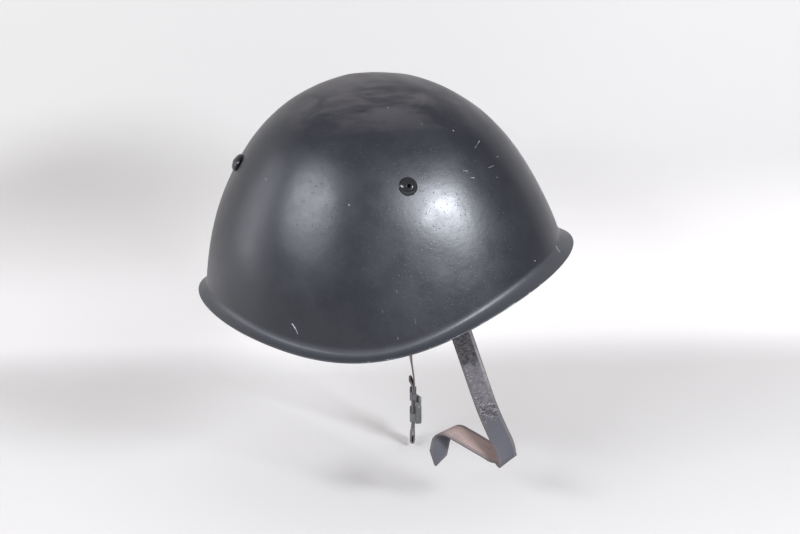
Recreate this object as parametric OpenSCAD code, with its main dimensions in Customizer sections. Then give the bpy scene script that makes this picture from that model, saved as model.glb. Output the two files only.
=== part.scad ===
// Parade helmet: pressed steel shell, laced leather liner and a chin strap in two parts.
// +X is the front, +Y the wearer's left and +Z up. The origin is the centre of the head
// opening, level with the lowest stretch of the line where the shell's flare starts.

/* [Shell] */
// Reach of the dome ahead of the origin, where the flare starts
front_reach = 151.5; // [144:0.5:160]
// Reach of the dome behind the origin, where the flare starts
rear_reach = 116.5; // [112:0.5:124]
// Half the dome's width, where the flare starts
half_width = 107; // [103:0.5:114]
// Height of the crown above the origin
crown_height = 177; // [170:0.5:190]
// How far the crown's highest point lies ahead of the origin
crown_shift = 13; // [8:0.5:18]
// Depth of wall between the flare and the widest level of the dome's curve
wall_depth = 73.5; // [66:0.5:80]
// How much deeper that wall is in front, and shallower behind
wall_depth_tilt = 56; // [48:0.5:62]
// Thickness of the steel
steel = 1.2; // [0.8:0.1:1.8]

/* [Rim] */
// How much the rim rises from the middle to the front, and falls to the rear
rim_tilt = 14.2; // [8:0.1:18]
// How much the rim arches up at the front and the rear
rim_arch = 18; // [12:0.5:22]
// Small third wave of the rim, which keeps the ears low
rim_wave = 2.6; // [0:0.1:4]
// Width of the flare in front
flare_front = 11.8; // [8:0.1:15]
// Width of the flare behind
flare_rear = 6.6; // [4:0.1:9]
// Width of the flare at the sides
flare_side = 9.5; // [6:0.1:12]
// Drop of the flare to the rim's edge
flare_drop = 7.8; // [5:0.1:10]

/* [Vent rivets] */
// Height of the three rivets above the origin
rivet_height = 112; // [106:0.5:116]
// Angle of the side rivets from the front
rivet_angle = 71.4; // [66:0.2:78]
// Width of a rivet's domed head
rivet_head_d = 14; // [12:0.5:16]
// Height of a rivet's domed head
rivet_head_h = 3.6; // [3:0.1:4.5]
// Bore of the vent through a rivet
vent_d = 2.6; // [2:0.1:3.4]
// Outside of a rivet's shank
shank_d = 6; // [5:0.1:7]
// Length of a rivet's two split ends, tip to tip
split_span = 20; // [16:0.5:24]
// Outside of the washers under the split ends
washer_d = 14; // [12:0.5:16]
// Thickness of the washers
washer_t = 1; // [0.6:0.1:1.4]

/* [Liner hoop] */
// Room between the hoop and the shell's reach, in front and behind
hoop_end_room = 26; // [24:0.5:29]
// Room between the hoop and the shell's reach at each side
hoop_side_room = 22; // [20:0.5:25]
// How far the hoop sits behind the middle of the shell's length
hoop_set_back = 5.5; // [3.5:0.5:7.5]
// Height of the hoop's lower edge above the origin
hoop_base = 56; // [53:0.5:59]
// Width of the hoop's steel strip
hoop_strip = 22; // [20:0.5:24]
// Thickness of the hoop's steel strip
hoop_t = 0.8; // [0.6:0.1:1.2]
// Width of the three hangers
hanger_w = 18; // [15:0.5:20]
// Thickness of the three hangers
hanger_t = 1; // [0.8:0.1:1.2]
// Width of a small rivet's head
small_head_d = 4.6; // [4:0.1:5.4]
// Shank of a small rivet
small_shank_d = 2.4; // [2:0.1:3]

/* [Liner leather] */
// Thickness of the felt strip
felt_t = 2; // [1.5:0.1:2.5]
// Thickness of a tongue's leather
tongue_t = 1.3; // [1:0.1:1.6]
// Thickness of the sweatband's leather
sweatband_t = 1.4; // [1:0.1:1.8]
// Height of the sweatband's lower edge above the origin
sweatband_base = 52; // [50:0.5:53]
// Height of the sweatband's strip
sweatband_h = 24; // [22:0.5:26]
// Height of the tongues' tips above the origin
liner_top = 143; // [138:0.5:148]
// Radius of the open crown between the tongues' tips
crown_gap_r = 15; // [14:0.5:16]
// Number of tongues
tongues = 8; // [8]
// Radius of the lace's ring
lace_ring_r = 24; // [23:0.5:25]
// Thickness of the lace
lace_d = 2.4; // [2.2:0.1:2.5]
// Hole for the lace in each tongue
lace_hole_d = 5.6; // [5.4:0.1:6]

/* [Strap brackets] */
// Place of the brackets round the hoop, from the front
bracket_angle = 64.5; // [60:0.5:70]
// Width of a bracket along the hoop
bracket_w = 14; // [12:0.5:16]
// Height of a bracket's plate above its eye
bracket_h = 14; // [13:0.5:16]
// Thickness of the bracket's sheet
bracket_t = 0.9; // [0.7:0.1:1.2]
// Thickness of the wire loops
wire_d = 2.4; // [2:0.1:2.8]
// Inside width of the wire loops
loop_inside_w = 21; // [20:0.5:24]
// Height of the wire loops, from wire centre to wire centre
loop_rise = 11.4; // [10.5:0.1:13]

/* [Straps] */
// Width of the strap leather
strap_w = 16.2; // [15:0.1:17]
// Thickness of the strap leather
strap_t = 1.4; // [1.2:0.1:1.8]
// Length of the right strap's free leg, to its fold
right_leg = 112; // [100:0.5:125]
// Lean of the right strap's leg towards the front
right_lean = 18.4; // [12:0.1:22]
// Twist of the right strap's leg at its fold
right_twist = 34; // [0:1:40]
// Radius of the right strap's roll, past the fold
roll_r = 5.5; // [4.5:0.1:8]
// Length of the right strap past its fold, without its point
return_l = 76; // [70:0.5:82]
// Length of the right strap's point
point_l = 10; // [6:0.5:12]
// Level of the left strap's lower turn, below the origin
left_drop = 148.7; // [146:0.1:160]
// Level of the left strap's tail end, below the origin
tail_level = 96; // [95:0.5:97]
// How far the tail's end stands off
tail_lift = 2.5; // [0:0.1:3.5]

/* [Buckle and keeper] */
// Level of the buckle's upper edge, below the origin
buckle_level = 113; // [113:0.1:118]
// Height of the buckle frame
buckle_h = 19.3; // [19:0.1:22]
// Depth of the buckle's two ears
ear_depth = 5; // [4.8:0.1:6]
// Drop of the ears' upper edges towards the front
ear_slope = 3.4; // [1:0.1:3.5]
// Thickness of the buckle's sheet
sheet_t = 0.9; // [0.8:0.1:1]
// Pin of the clamp plate
pin_d = 2; // [1.8:0.1:2.1]
// Gap between the keeper and the buckle
keeper_gap = 0.6; // [0.4:0.1:1]
// Height of the keeper
keeper_h = 5.4; // [5:0.1:6]
// Thickness of the keeper's leather
keeper_t = 0.9; // [0.8:0.1:1.4]

/* [Hidden] */
// Half the hoop's length and width, outside, and its centre ahead of the origin
hoop_half_length = (front_reach + rear_reach) / 2 - hoop_end_room;
hoop_half_width = half_width - hoop_side_room;
hoop_shift = (front_reach - rear_reach) / 2 - hoop_set_back;
$fn = 32;

// Fullness of the dome, in side view and from the crown outwards (2 is an ellipse)
side_power = 2.11;
plan_power = 2.13;
// Fullness of the liner's crown
liner_power = 1.8;
// Clearances: a pin in its eye, a layer over a layer, the sweatband inside the tongues,
// a moving part beside another
pin_gap = 0.08;
layer_gap = 0.2;
band_gap = 0.4;
move_gap = 0.3;
// Room between curved sheets that a flat washer or pad bridges
pad_gap = 0.7;
washer_gap = 0.4;
hole_gap = 0.1;
// Steps round the shell and down its wall
round_steps = 72;
wall_steps = 18;
flare_steps = [0.08, 0.25, 0.55, 1];

function unit(v) = v / norm(v);
function mix(a, b, k) = a + (b - a) * k;
function smooth(k) = k * k * (3 - 2 * k);
function bezier(a, b, c, d, k) = pow(1 - k, 3) * a + 3 * k * pow(1 - k, 2) * b
    + 3 * k * k * (1 - k) * c + pow(k, 3) * d;
function spline(a, b, c, d, k) = 0.5 * (2 * b + k * (c - a)
    + k * k * (2 * a - 5 * b + 4 * c - d) + pow(k, 3) * (3 * b - a - 3 * c + d));

// The dome. phi turns round from the front; v runs from 0 at the crown to 1 where the
// flare starts, and on to 2 at the rim's edge.
function reach(phi) = (front_reach + rear_reach) / 2
    + (front_reach - rear_reach) / 4 * cos(phi) * (3 - pow(cos(phi), 2));
function plan_radius(phi) = 1 / sqrt(pow(cos(phi) / reach(phi), 2) + pow(sin(phi) / half_width, 2));
function flare_level(phi) = rim_tilt * cos(phi) + rim_arch * (1 + cos(2 * phi)) + rim_wave * cos(3 * phi);
function wide_level(phi) = flare_level(phi) - wall_depth - wall_depth_tilt * cos(phi);
function wall_angle(phi, z) = acos(pow((z - wide_level(phi)) / (crown_height - wide_level(phi)),
    side_power / 2));
function dome(phi, u) = let(
    fill = pow(sin(u) / sin(wall_angle(phi, flare_level(phi))), 2 / plan_power),
    z = wide_level(phi) + (crown_height - wide_level(phi)) * pow(cos(u), 2 / side_power))
    [crown_shift * (1 - fill) + plan_radius(phi) * fill * cos(phi), plan_radius(phi) * fill * sin(phi), z];
function flare_width(phi) = mix(flare_side, cos(phi) > 0 ? flare_front : flare_rear, pow(cos(phi), 2));
function shell_point(phi, v) = let(
    wall = dome(phi, min(v, 1) * wall_angle(phi, flare_level(phi))),
    k = max(v - 1, 0))
    wall + [flare_width(phi) * k * cos(phi), flare_width(phi) * k * sin(phi), -flare_drop * pow(k, 0.6)];
function shell_normal(phi, v) = unit(cross(
    shell_point(phi, min(v + 0.02, 2)) - shell_point(phi, v - 0.02),
    shell_point(phi + 1, v) - shell_point(phi - 1, v)));
function inside_point(phi, v) = shell_point(phi, v) - steel * shell_normal(phi, v);

// Places of the three vent rivets: rear, right and left
rivet_phis = [180, -rivet_angle, rivet_angle];
function rivet_v(phi) = wall_angle(phi, rivet_height) / wall_angle(phi, flare_level(phi));
function rivet_point(phi) = shell_point(phi, rivet_v(phi));
function rivet_normal(phi) = shell_normal(phi, rivet_v(phi));
// Depths below the shell's outer face, down a rivet's shank
hanger_face = steel + pad_gap;
washer_face = hanger_face + hanger_t + washer_gap;
split_face = washer_face + washer_t + 0.05;
split_t = 0.8;
split_w = 4.5;

// The hoop: an ellipse about its centre, with theta turning round from the front
function hoop_point(theta, inset, z) = [hoop_shift + (hoop_half_length - inset) * cos(theta),
    (hoop_half_width - inset) * sin(theta), z];
function hoop_normal(theta) = unit([cos(theta) / hoop_half_length, sin(theta) / hoop_half_width, 0]);
function hoop_normal_angle(theta) = atan2(hoop_normal(theta).y, hoop_normal(theta).x);
hoop_top = hoop_base + hoop_strip;
felt_inset = hoop_t + layer_gap;
tongue_inset = felt_inset + felt_t + layer_gap;
sweatband_inset = tongue_inset + tongue_t + band_gap;

// Solid between two grids of points, front and back, each a list of rows
module slab(front, back) {
    m = len(front);
    n = len(front[0]);
    f = m * n;
    points = [for (g = [front, back], row = g, p = row) p];
    faces = concat(
        [for (i = [0:m - 2], j = [0:n - 2]) [i * n + j, (i + 1) * n + j, i * n + j + 1]],
        [for (i = [0:m - 2], j = [0:n - 2]) [(i + 1) * n + j, (i + 1) * n + j + 1, i * n + j + 1]],
        [for (i = [0:m - 2], j = [0:n - 2]) [f + i * n + j, f + i * n + j + 1, f + (i + 1) * n + j]],
        [for (i = [0:m - 2], j = [0:n - 2]) [f + (i + 1) * n + j, f + i * n + j + 1, f + (i + 1) * n + j + 1]],
        [for (i = [0:m - 2]) [i * n, f + i * n, (i + 1) * n]],
        [for (i = [0:m - 2]) [f + i * n, f + (i + 1) * n, (i + 1) * n]],
        [for (i = [0:m - 2]) [(i + 1) * n - 1, (i + 2) * n - 1, f + (i + 1) * n - 1]],
        [for (i = [0:m - 2]) [f + (i + 1) * n - 1, (i + 2) * n - 1, f + (i + 2) * n - 1]],
        [for (j = [0:n - 2]) [j, j + 1, f + j]],
        [for (j = [0:n - 2]) [f + j, j + 1, f + j + 1]],
        [for (j = [0:n - 2]) [(m - 1) * n + j, f + (m - 1) * n + j, (m - 1) * n + j + 1]],
        [for (j = [0:n - 2]) [f + (m - 1) * n + j, f + (m - 1) * n + j + 1, (m - 1) * n + j + 1]]);
    polyhedron(points, faces, convexity = 8);
}

// Strip of leather or steel of thickness t; each row is [one edge, other edge]
function row_centre(row) = (row[0] + row[1]) / 2;
function row_normal(rows, i) = unit(cross(
    row_centre(rows[min(i + 1, len(rows) - 1)]) - row_centre(rows[max(i - 1, 0)]),
    rows[i][1] - rows[i][0]));
module strip(rows, t) {
    slab(
        [for (i = [0:len(rows) - 1]) [for (p = rows[i]) p + row_normal(rows, i) * t / 2]],
        [for (i = [0:len(rows) - 1]) [for (p = rows[i]) p - row_normal(rows, i) * t / 2]]);
}

// Stands its children on a point with +Z along a direction
module stand(point, direction) {
    translate(point)
        rotate([0, acos(direction.z), atan2(direction.y, direction.x)])
            children();
}

// Round rivet with its head's underside at z = 0 and its shank below
module small_rivet(shank_l, head_h = 1.1) {
    rotate_extrude()
        polygon(concat(
            [[0, -shank_l], [small_shank_d / 2, -shank_l], [small_shank_d / 2, 0]],
            [for (a = [0:18:90]) [small_head_d / 2 * cos(a), head_h * (0.25 + 0.75 * sin(a))]],
            [[0, head_h]]));
}

module shell() {
    m = wall_steps + len(flare_steps);
    n = round_steps;
    levels = concat([for (i = [1:wall_steps]) i / wall_steps], [for (k = flare_steps) 1 + k]);
    outer = [for (v = levels, i = [0:n - 1]) shell_point(360 * i / n, v)];
    inner = [for (v = levels, i = [0:n - 1]) inside_point(360 * i / n, v)];
    crown = [crown_shift, 0, crown_height];
    f = m * n;
    points = concat(outer, inner, [crown, crown - [0, 0, steel]]);
    faces = concat(
        [for (i = [0:m - 2], j = [0:n - 1]) [i * n + j, i * n + (j + 1) % n, (i + 1) * n + j]],
        [for (i = [0:m - 2], j = [0:n - 1]) [(i + 1) * n + j, i * n + (j + 1) % n, (i + 1) * n + (j + 1) % n]],
        [for (i = [0:m - 2], j = [0:n - 1]) [f + i * n + j, f + (i + 1) * n + j, f + i * n + (j + 1) % n]],
        [for (i = [0:m - 2], j = [0:n - 1]) [f + (i + 1) * n + j, f + (i + 1) * n + (j + 1) % n, f + i * n + (j + 1) % n]],
        [for (j = [0:n - 1]) [(m - 1) * n + j, (m - 1) * n + (j + 1) % n, f + (m - 1) * n + j]],
        [for (j = [0:n - 1]) [f + (m - 1) * n + j, (m - 1) * n + (j + 1) % n, f + (m - 1) * n + (j + 1) % n]],
        [for (j = [0:n - 1]) [2 * f, (j + 1) % n, j]],
        [for (j = [0:n - 1]) [2 * f + 1, f + j, f + (j + 1) % n]]);
    color([0.27, 0.29, 0.32])
        difference() {
            polyhedron(points, faces, convexity = 6);
            for (phi = rivet_phis)
                stand(rivet_point(phi), rivet_normal(phi))
                    cylinder(h = 12, d = shank_d + 2 * hole_gap, center = true);
        }
}

// Hollow domed rivet whose end is split in two and bent flat inside
module vent_rivet(phi) {
    seat = 0.05;
    color([0.1, 0.1, 0.11])
        stand(rivet_point(phi), rivet_normal(phi)) {
            rotate_extrude()
                polygon(concat(
                    [[vent_d / 2, -split_face - split_t], [shank_d / 2, -split_face - split_t],
                        [shank_d / 2, seat], [rivet_head_d / 2, seat]],
                    [for (a = [8:8:72]) [rivet_head_d / 2 * cos(a), seat + rivet_head_h * sin(a)]],
                    [[vent_d / 2, seat + rivet_head_h * 0.98]]));
            difference() {
                translate([0, 0, -split_face - split_t])
                    intersection() {
                        cylinder(h = split_t, d = split_span);
                        translate([-split_span / 2, -split_w / 2, 0])
                            cube([split_span, split_w, split_t]);
                    }
                translate([0, 0, -split_face - 2 * split_t])
                    cylinder(h = 4 * split_t, d = vent_d);
            }
        }
}

module rivet_washers() {
    color([0.45, 0.45, 0.44])
        for (phi = rivet_phis)
            stand(rivet_point(phi), rivet_normal(phi))
                translate([0, 0, -washer_face - washer_t])
                    difference() {
                        cylinder(h = washer_t, d = washer_d);
                        translate([0, 0, -1])
                            cylinder(h = washer_t + 2, d = shank_d + 2 * hole_gap);
                    }
}

// A hanger lies on the hoop, rises inside the shell and ends in a pad under its rivet
hanger_lap = 8;
pad_reach = 9;
function hanger_theta(phi) = let(p = rivet_point(phi))
    atan2(p.y / hoop_half_width, (p.x - hoop_shift) / hoop_half_length);
function level_dir(n) = unit([-n.y, n.x, 0]);
function hanger_rows(phi) = let(
    theta = hanger_theta(phi),
    out = hoop_normal(theta),
    along = level_dir(out),
    low = hoop_point(theta, 0, hoop_base + 3) + out * (layer_gap + 0.2 + hanger_t / 2),
    top = low + [0, 0, hanger_lap + 6],
    n = rivet_normal(phi),
    flat = level_dir(n),
    up = unit(cross(n, flat)),
    depth = hanger_face + hanger_t / 2,
    dv = pad_reach / norm(shell_point(phi, 1) - rivet_point(phi)) * (1 - rivet_v(phi)),
    pad = [for (k = [1, 0.5, 0, -0.5, -1]) shell_point(phi, rivet_v(phi) + k * dv)
        - shell_normal(phi, rivet_v(phi) + k * dv) * depth],
    rise = norm(pad[0] - top) * 0.4)
    concat(
        [for (p = [low, top]) [p - along * hanger_w / 2, p + along * hanger_w / 2]],
        [for (k = [0.2:0.2:0.8]) let(
            p = bezier(top, top + [0, 0, rise], pad[0] - up * rise, pad[0], k),
            w = unit(mix(along, flat, k)))
            [p - w * hanger_w / 2, p + w * hanger_w / 2]],
        [for (p = pad) [p - flat * hanger_w / 2, p + flat * hanger_w / 2]]);
// The two small rivets of a hanger or a bracket, either side of its middle
small_pitch = 8.4;
module hoop_rivet_places(theta, z) {
    translate(hoop_point(theta, 0, z))
        rotate([0, 0, hoop_normal_angle(theta)])
            for (side = [-1, 1])
                translate([0, side * small_pitch / 2, 0])
                    rotate([0, 90, 0])
                        children();
}
hanger_rivet_z = hoop_base + hoop_strip / 2;

module hanger(phi) {
    color([0.42, 0.43, 0.4])
        difference() {
            strip(hanger_rows(phi), hanger_t);
            stand(rivet_point(phi), rivet_normal(phi))
                cylinder(h = 20, d = shank_d + 2 * hole_gap, center = true);
            hoop_rivet_places(hanger_theta(phi), hanger_rivet_z)
                cylinder(h = 8, d = small_shank_d + 2 * hole_gap, center = true);
        }
}

module hanger_rivets() {
    color([0.5, 0.5, 0.48])
        for (phi = rivet_phis)
            hoop_rivet_places(hanger_theta(phi), hanger_rivet_z)
                translate([0, 0, layer_gap + 0.25 + hanger_t])
                    small_rivet(layer_gap + 0.25 + hanger_t + hoop_t);
}

module ring_strip(inset, t, z, h) {
    translate([hoop_shift, 0, z])
        linear_extrude(h)
            difference() {
                polygon([for (a = [0:5:355])
                    [(hoop_half_length - inset) * cos(a), (hoop_half_width - inset) * sin(a)]]);
                polygon([for (a = [0:5:355])
                    [(hoop_half_length - inset - t) * cos(a), (hoop_half_width - inset - t) * sin(a)]]);
            }
}

module liner_hoop() {
    color([0.4, 0.42, 0.38])
        difference() {
            ring_strip(0, hoop_t, hoop_base, hoop_strip);
            for (phi = rivet_phis)
                hoop_rivet_places(hanger_theta(phi), hanger_rivet_z)
                    cylinder(h = 8, d = small_shank_d + 2 * hole_gap, center = true);
            for (side = [-1, 1])
                hoop_rivet_places(side * bracket_angle, bracket_rivet_z)
                    cylinder(h = 8, d = small_shank_d + 2 * hole_gap, center = true);
        }
}

module felt_strip() {
    color([0.34, 0.36, 0.3])
        ring_strip(felt_inset, felt_t, hoop_base, hoop_strip);
}

module sweatband() {
    color([0.42, 0.28, 0.17])
        ring_strip(sweatband_inset, sweatband_t, sweatband_base, sweatband_h);
}

// The liner's crown: upright behind the sweatband (v to 1), then curved in (v to 2)
tongue_overlap = 12;
tongue_foot = sweatband_base + tongue_overlap;
spring_level = sweatband_base + sweatband_h;
function liner_radius(phi) = 1 / sqrt(pow(cos(phi) / (hoop_half_length - tongue_inset), 2)
    + pow(sin(phi) / (hoop_half_width - tongue_inset), 2));
function liner_point(phi, v) = let(
    tilt = 90 * max(v - 1, 0),
    r = crown_gap_r + (liner_radius(phi) - crown_gap_r) * pow(cos(tilt), 2 / liner_power),
    z = v < 1 ? mix(tongue_foot, spring_level, v)
        : spring_level + (liner_top - spring_level) * pow(sin(tilt), 2 / liner_power))
    [hoop_shift + r * cos(phi), r * sin(phi), z];
function liner_normal(phi, v) = unit(cross(
    liner_point(phi, max(v - 0.02, 0)) - liner_point(phi, min(v + 0.02, 1.99)),
    liner_point(phi + 1, v) - liner_point(phi - 1, v)));
// Half the angle that a tongue spans at each level
tongue_levels = [[0, 21.8], [0.6, 21.8], [1, 21.6], [1.1, 20.4], [1.22, 18.9], [1.36, 17.6], [1.5, 16.7],
    [1.64, 16], [1.76, 15.6], [1.86, 15.5], [1.93, 15.5], [1.97, 14.5], [1.99, 11], [2, 5]];
lace_level = 1 + acos(pow((lace_ring_r - crown_gap_r) / (hoop_half_length - tongue_inset - crown_gap_r),
    liner_power / 2)) / 90;

module tongue(number) {
    phi = 360 / tongues * (number - 1);
    grid = [for (level = tongue_levels) [for (side = [-1:0.25:1])
        liner_point(phi + side * level[1], level[0])]];
    back = [for (level = tongue_levels) [for (side = [-1:0.25:1])
        liner_point(phi + side * level[1], level[0])
            - tongue_t * liner_normal(phi + side * level[1], min(level[0], 1.98))]];
    color([0.47, 0.32, 0.2])
        difference() {
            slab(grid, back);
            translate([hoop_shift + lace_ring_r * cos(phi), lace_ring_r * sin(phi), liner_top])
                cylinder(h = 20, d = lace_hole_d, center = true);
        }
}

// Lace through the tongues' holes: above one half of each tongue and below the other
lace_rise = 2.8;
lace_steps = 96;
lace_z = liner_point(0, lace_level).z - tongue_t / 2;
function lace_point(a) = [hoop_shift + lace_ring_r * cos(a), lace_ring_r * sin(a),
    lace_z + lace_rise * sin(tongues * a)];
knot_angle = 180 + 180 / tongues;
knot_d = 5.6;
knot_ends = 9;
knot_droop = 28;
knot_open = acos((lace_d / 2 + 0.3) / (knot_d / 2));
module crown_lace() {
    sides = 6;
    points = [for (i = [0:lace_steps - 1]) let(
        a = 360 * i / lace_steps,
        along = unit(lace_point(a + 1) - lace_point(a - 1)),
        out = [cos(a), sin(a), 0],
        up = cross(out, along),
        across = cross(along, up))
        for (j = [0:sides - 1]) lace_point(a)
            + lace_d / 2 * (across * cos(360 * j / sides) + up * sin(360 * j / sides))];
    total = lace_steps * sides;
    faces = [for (i = [0:lace_steps - 1], j = [0:sides - 1], half = [0, 1]) let(
        a = i * sides + j,
        b = i * sides + (j + 1) % sides,
        c = (a + sides) % total,
        d = (b + sides) % total)
        half == 0 ? [a, c, b] : [b, c, d]];
    color([0.5, 0.46, 0.38])
        polyhedron(points, faces, convexity = 6);
}

// Knot in the gap between two tongues, with the lace's two ends
module lace_knot() {
    color([0.5, 0.46, 0.38])
        translate(lace_point(knot_angle))
            union() {
                stand([0, 0, 0], unit(lace_point(knot_angle + 1) - lace_point(knot_angle - 1)))
                    rotate_extrude()
                        polygon([for (a = [-knot_open:knot_open / 3:knot_open])
                            knot_d / 2 * [cos(a), sin(a)]]);
                for (turn = [-14, 12])
                    rotate([0, 90 + knot_droop, knot_angle + 180 + turn])
                        translate([0, 0, lace_d / 2 + 0.95])
                            cylinder(h = knot_ends - lace_d / 2 - 0.95, d = lace_d);
            }
}

// The strap brackets, each with an eye for the wire loop at the hoop's lower edge
eye_r = wire_d / 2 + pin_gap;
eye_outer_r = eye_r + bracket_t;
eye_z = hoop_base - 2;
bracket_rivet_z = eye_z + bracket_h - small_head_d / 2 - 2;
module bracket_frame(side) {
    translate(hoop_point(side * bracket_angle, 0, eye_z)
        + hoop_normal(side * bracket_angle) * (eye_outer_r + hole_gap))
        rotate([0, 0, hoop_normal_angle(side * bracket_angle)])
            children();
}

module bracket(side) {
    color([0.42, 0.43, 0.4])
        difference() {
            bracket_frame(side)
                difference() {
                    union() {
                        rotate([90, 0, 0])
                            cylinder(h = bracket_w, r = eye_outer_r, center = true);
                        translate([-eye_outer_r, -bracket_w / 2, 0])
                            cube([bracket_t, bracket_w, bracket_h]);
                    }
                    rotate([90, 0, 0])
                        cylinder(h = bracket_w + 2, r = eye_r, center = true);
                }
            hoop_rivet_places(side * bracket_angle, bracket_rivet_z)
                cylinder(h = 8, d = small_shank_d + 2 * hole_gap, center = true);
        }
}

module bracket_rivets() {
    color([0.5, 0.5, 0.48])
        for (side = [-1, 1])
            hoop_rivet_places(side * bracket_angle, bracket_rivet_z)
                translate([0, 0, bracket_t + hole_gap + 0.05])
                    small_rivet(bracket_t + hole_gap + 0.05 + hoop_t);
}

// Wire bent into a closed rectangle that hangs from the bracket's eye
loop_bend = 2.6;
loop_half = loop_inside_w / 2 + wire_d / 2;
module wire_loop(side) {
    color([0.3, 0.3, 0.3])
        bracket_frame(side) {
            for (z = [0, -loop_rise])
                translate([0, 0, z])
                    rotate([90, 0, 0])
                        cylinder(h = 2 * (loop_half - loop_bend), d = wire_d, center = true);
            for (y = [-loop_half, loop_half])
                translate([0, y, -loop_rise + loop_bend])
                    cylinder(h = loop_rise - 2 * loop_bend, d = wire_d);
            for (y = [-1, 1], z = [-1, 1])
                translate([0, y * (loop_half - loop_bend), -loop_rise / 2 + z * (loop_rise / 2 - loop_bend)])
                    rotate([0, -90, 0])
                        rotate([0, 0, z > 0 ? (y > 0 ? 0 : -90) : (y > 0 ? 90 : 180)])
                            rotate_extrude(angle = 90)
                                translate([loop_bend, 0])
                                    circle(d = wire_d);
        }
}

// Each strap's end is wrapped round the lower wire and riveted to itself
wrap_r = wire_d / 2 + 0.35 + strap_t / 2;
wrap_play = 1.2;
ply = strap_t + layer_gap;
wrap_tail = 24;
wrap_rivet = 17;
neck = 22;
function bar_point(side) = hoop_point(side * bracket_angle, 0, eye_z - loop_rise)
    + hoop_normal(side * bracket_angle) * (eye_outer_r + hole_gap);
function bar_front(side) = [sin(hoop_normal_angle(bracket_angle)),
    -side * cos(hoop_normal_angle(bracket_angle)), 0];
// Point of the wrap: out from the wire, up, and along it, with the wrap askew on the wire
function wrap_point(side, skew, out, up, along) = bar_point(side) + hoop_normal(side * bracket_angle) * out
    + bar_front(side) * (along * cos(skew) - up * sin(skew))
    + [0, 0, wrap_play + up * cos(skew) + along * sin(skew)];
wrap_path = concat(
    [for (d = [wrap_tail, wrap_rivet, 11]) [wrap_r - ply, -d]],
    [for (k = [0.25:0.25:1]) [mix(wrap_r - ply, -wrap_r, smooth(k)), -mix(11, 3, k)]],
    [for (a = [180:-22.5:0]) [wrap_r * cos(a), wrap_r * sin(a)]],
    [for (d = [8, wrap_rivet]) [wrap_r, -d]]);
function wrap_rows(side, skew) = [for (p = wrap_path) [for (e = [-1, 1])
    wrap_point(side, skew, p[0], p[1], -side * e * strap_w / 2)]];
function wrap_start(side, skew) = wrap_point(side, skew, wrap_r, -neck, 0);
function wrap_down(side, skew) = unit(wrap_point(side, skew, 0, -1, 0) - wrap_point(side, skew, 0, 0, 0));
function wrap_across(side, skew) = unit(wrap_point(side, skew, 0, 0, -side) - wrap_point(side, skew, 0, 0, 0));
function edges(p, across) = [p - across * strap_w / 2, p + across * strap_w / 2];
// Free stretch of strap from p to q, leaving along a and arriving along b, while the
// way across it turns from v to w
function stretch(p, a, q, b, v, w, steps) = [for (i = [1:steps])
    edges(bezier(p, p + a, q - b, q, i / steps), unit(mix(v, w, i / steps)))];
module strap_rivet_place(side, skew) {
    p = wrap_point(side, skew, wrap_r + strap_t / 2, -wrap_rivet, 0);
    stand(p, hoop_normal(side * bracket_angle))
        children();
}
module strap_rivet(side, skew) {
    grip = ply + strap_t + 0.1;
    color([0.5, 0.42, 0.25])
        strap_rivet_place(side, skew) {
            translate([0, 0, 0.05])
                small_rivet(grip);
            translate([0, 0, -grip - 0.6])
                cylinder(h = 0.7, d = small_head_d);
        }
}

// The right strap's leg hangs beside the cheek. It leans more towards the fold, swings
// back just before it, and twists so that its front edge turns inwards.
right_skew = 9;
right_facing = -100;
leg_top = [65.5, -83.5, 7];
leg_face = [cos(right_facing), sin(right_facing), 0];
leg_level = [-sin(right_facing), cos(right_facing), 0];
leg_step = 4;
leg_gain = 6.5;
leg_return = 14;
fold_skew = 16;
fold_r = 2.6;
function ramp(s, from, to) = min(max((s - from) / (to - from), 0), 1);
function leg_lean(s) = right_lean + leg_gain * smooth(ramp(s, 50, 95))
    - leg_return * smooth(ramp(s, 95, right_leg));
function leg_dir(s) = sin(leg_lean(s)) * leg_level - [0, 0, cos(leg_lean(s))];
function leg_point(i) = i == 0 ? leg_top
    : leg_point(i - 1) + leg_step * leg_dir((i - 0.5) * leg_step);
function leg_turn(s) = right_twist * pow(ramp(s, 60, right_leg), 2);
function leg_out(s) = cos(leg_turn(s)) * leg_face
    + sin(leg_turn(s)) * (cos(leg_lean(s)) * leg_level + [0, 0, sin(leg_lean(s))]);
function leg_across(s) = cos(leg_turn(s)) * (cos(leg_lean(s)) * leg_level + [0, 0, sin(leg_lean(s))])
    - sin(leg_turn(s)) * leg_face;
// Way across the leg, which slants towards the fold's crease
function leg_slant(s) = leg_across(s) - tan(fold_skew * ramp(s, 60, right_leg)) * leg_dir(s);
leg_rows = [for (i = [0:right_leg / leg_step]) edges(leg_point(i), leg_slant(i * leg_step))];
leg_end = leg_point(floor(right_leg / leg_step));
fold_out = cos(fold_skew) * leg_dir(right_leg) + sin(fold_skew) * leg_across(right_leg);
fold_rows = [for (a = [20:20:180]) edges(
    leg_end + fold_out * fold_r * sin(a) - leg_out(right_leg) * fold_r * (1 - cos(a)),
    leg_slant(right_leg))];

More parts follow.
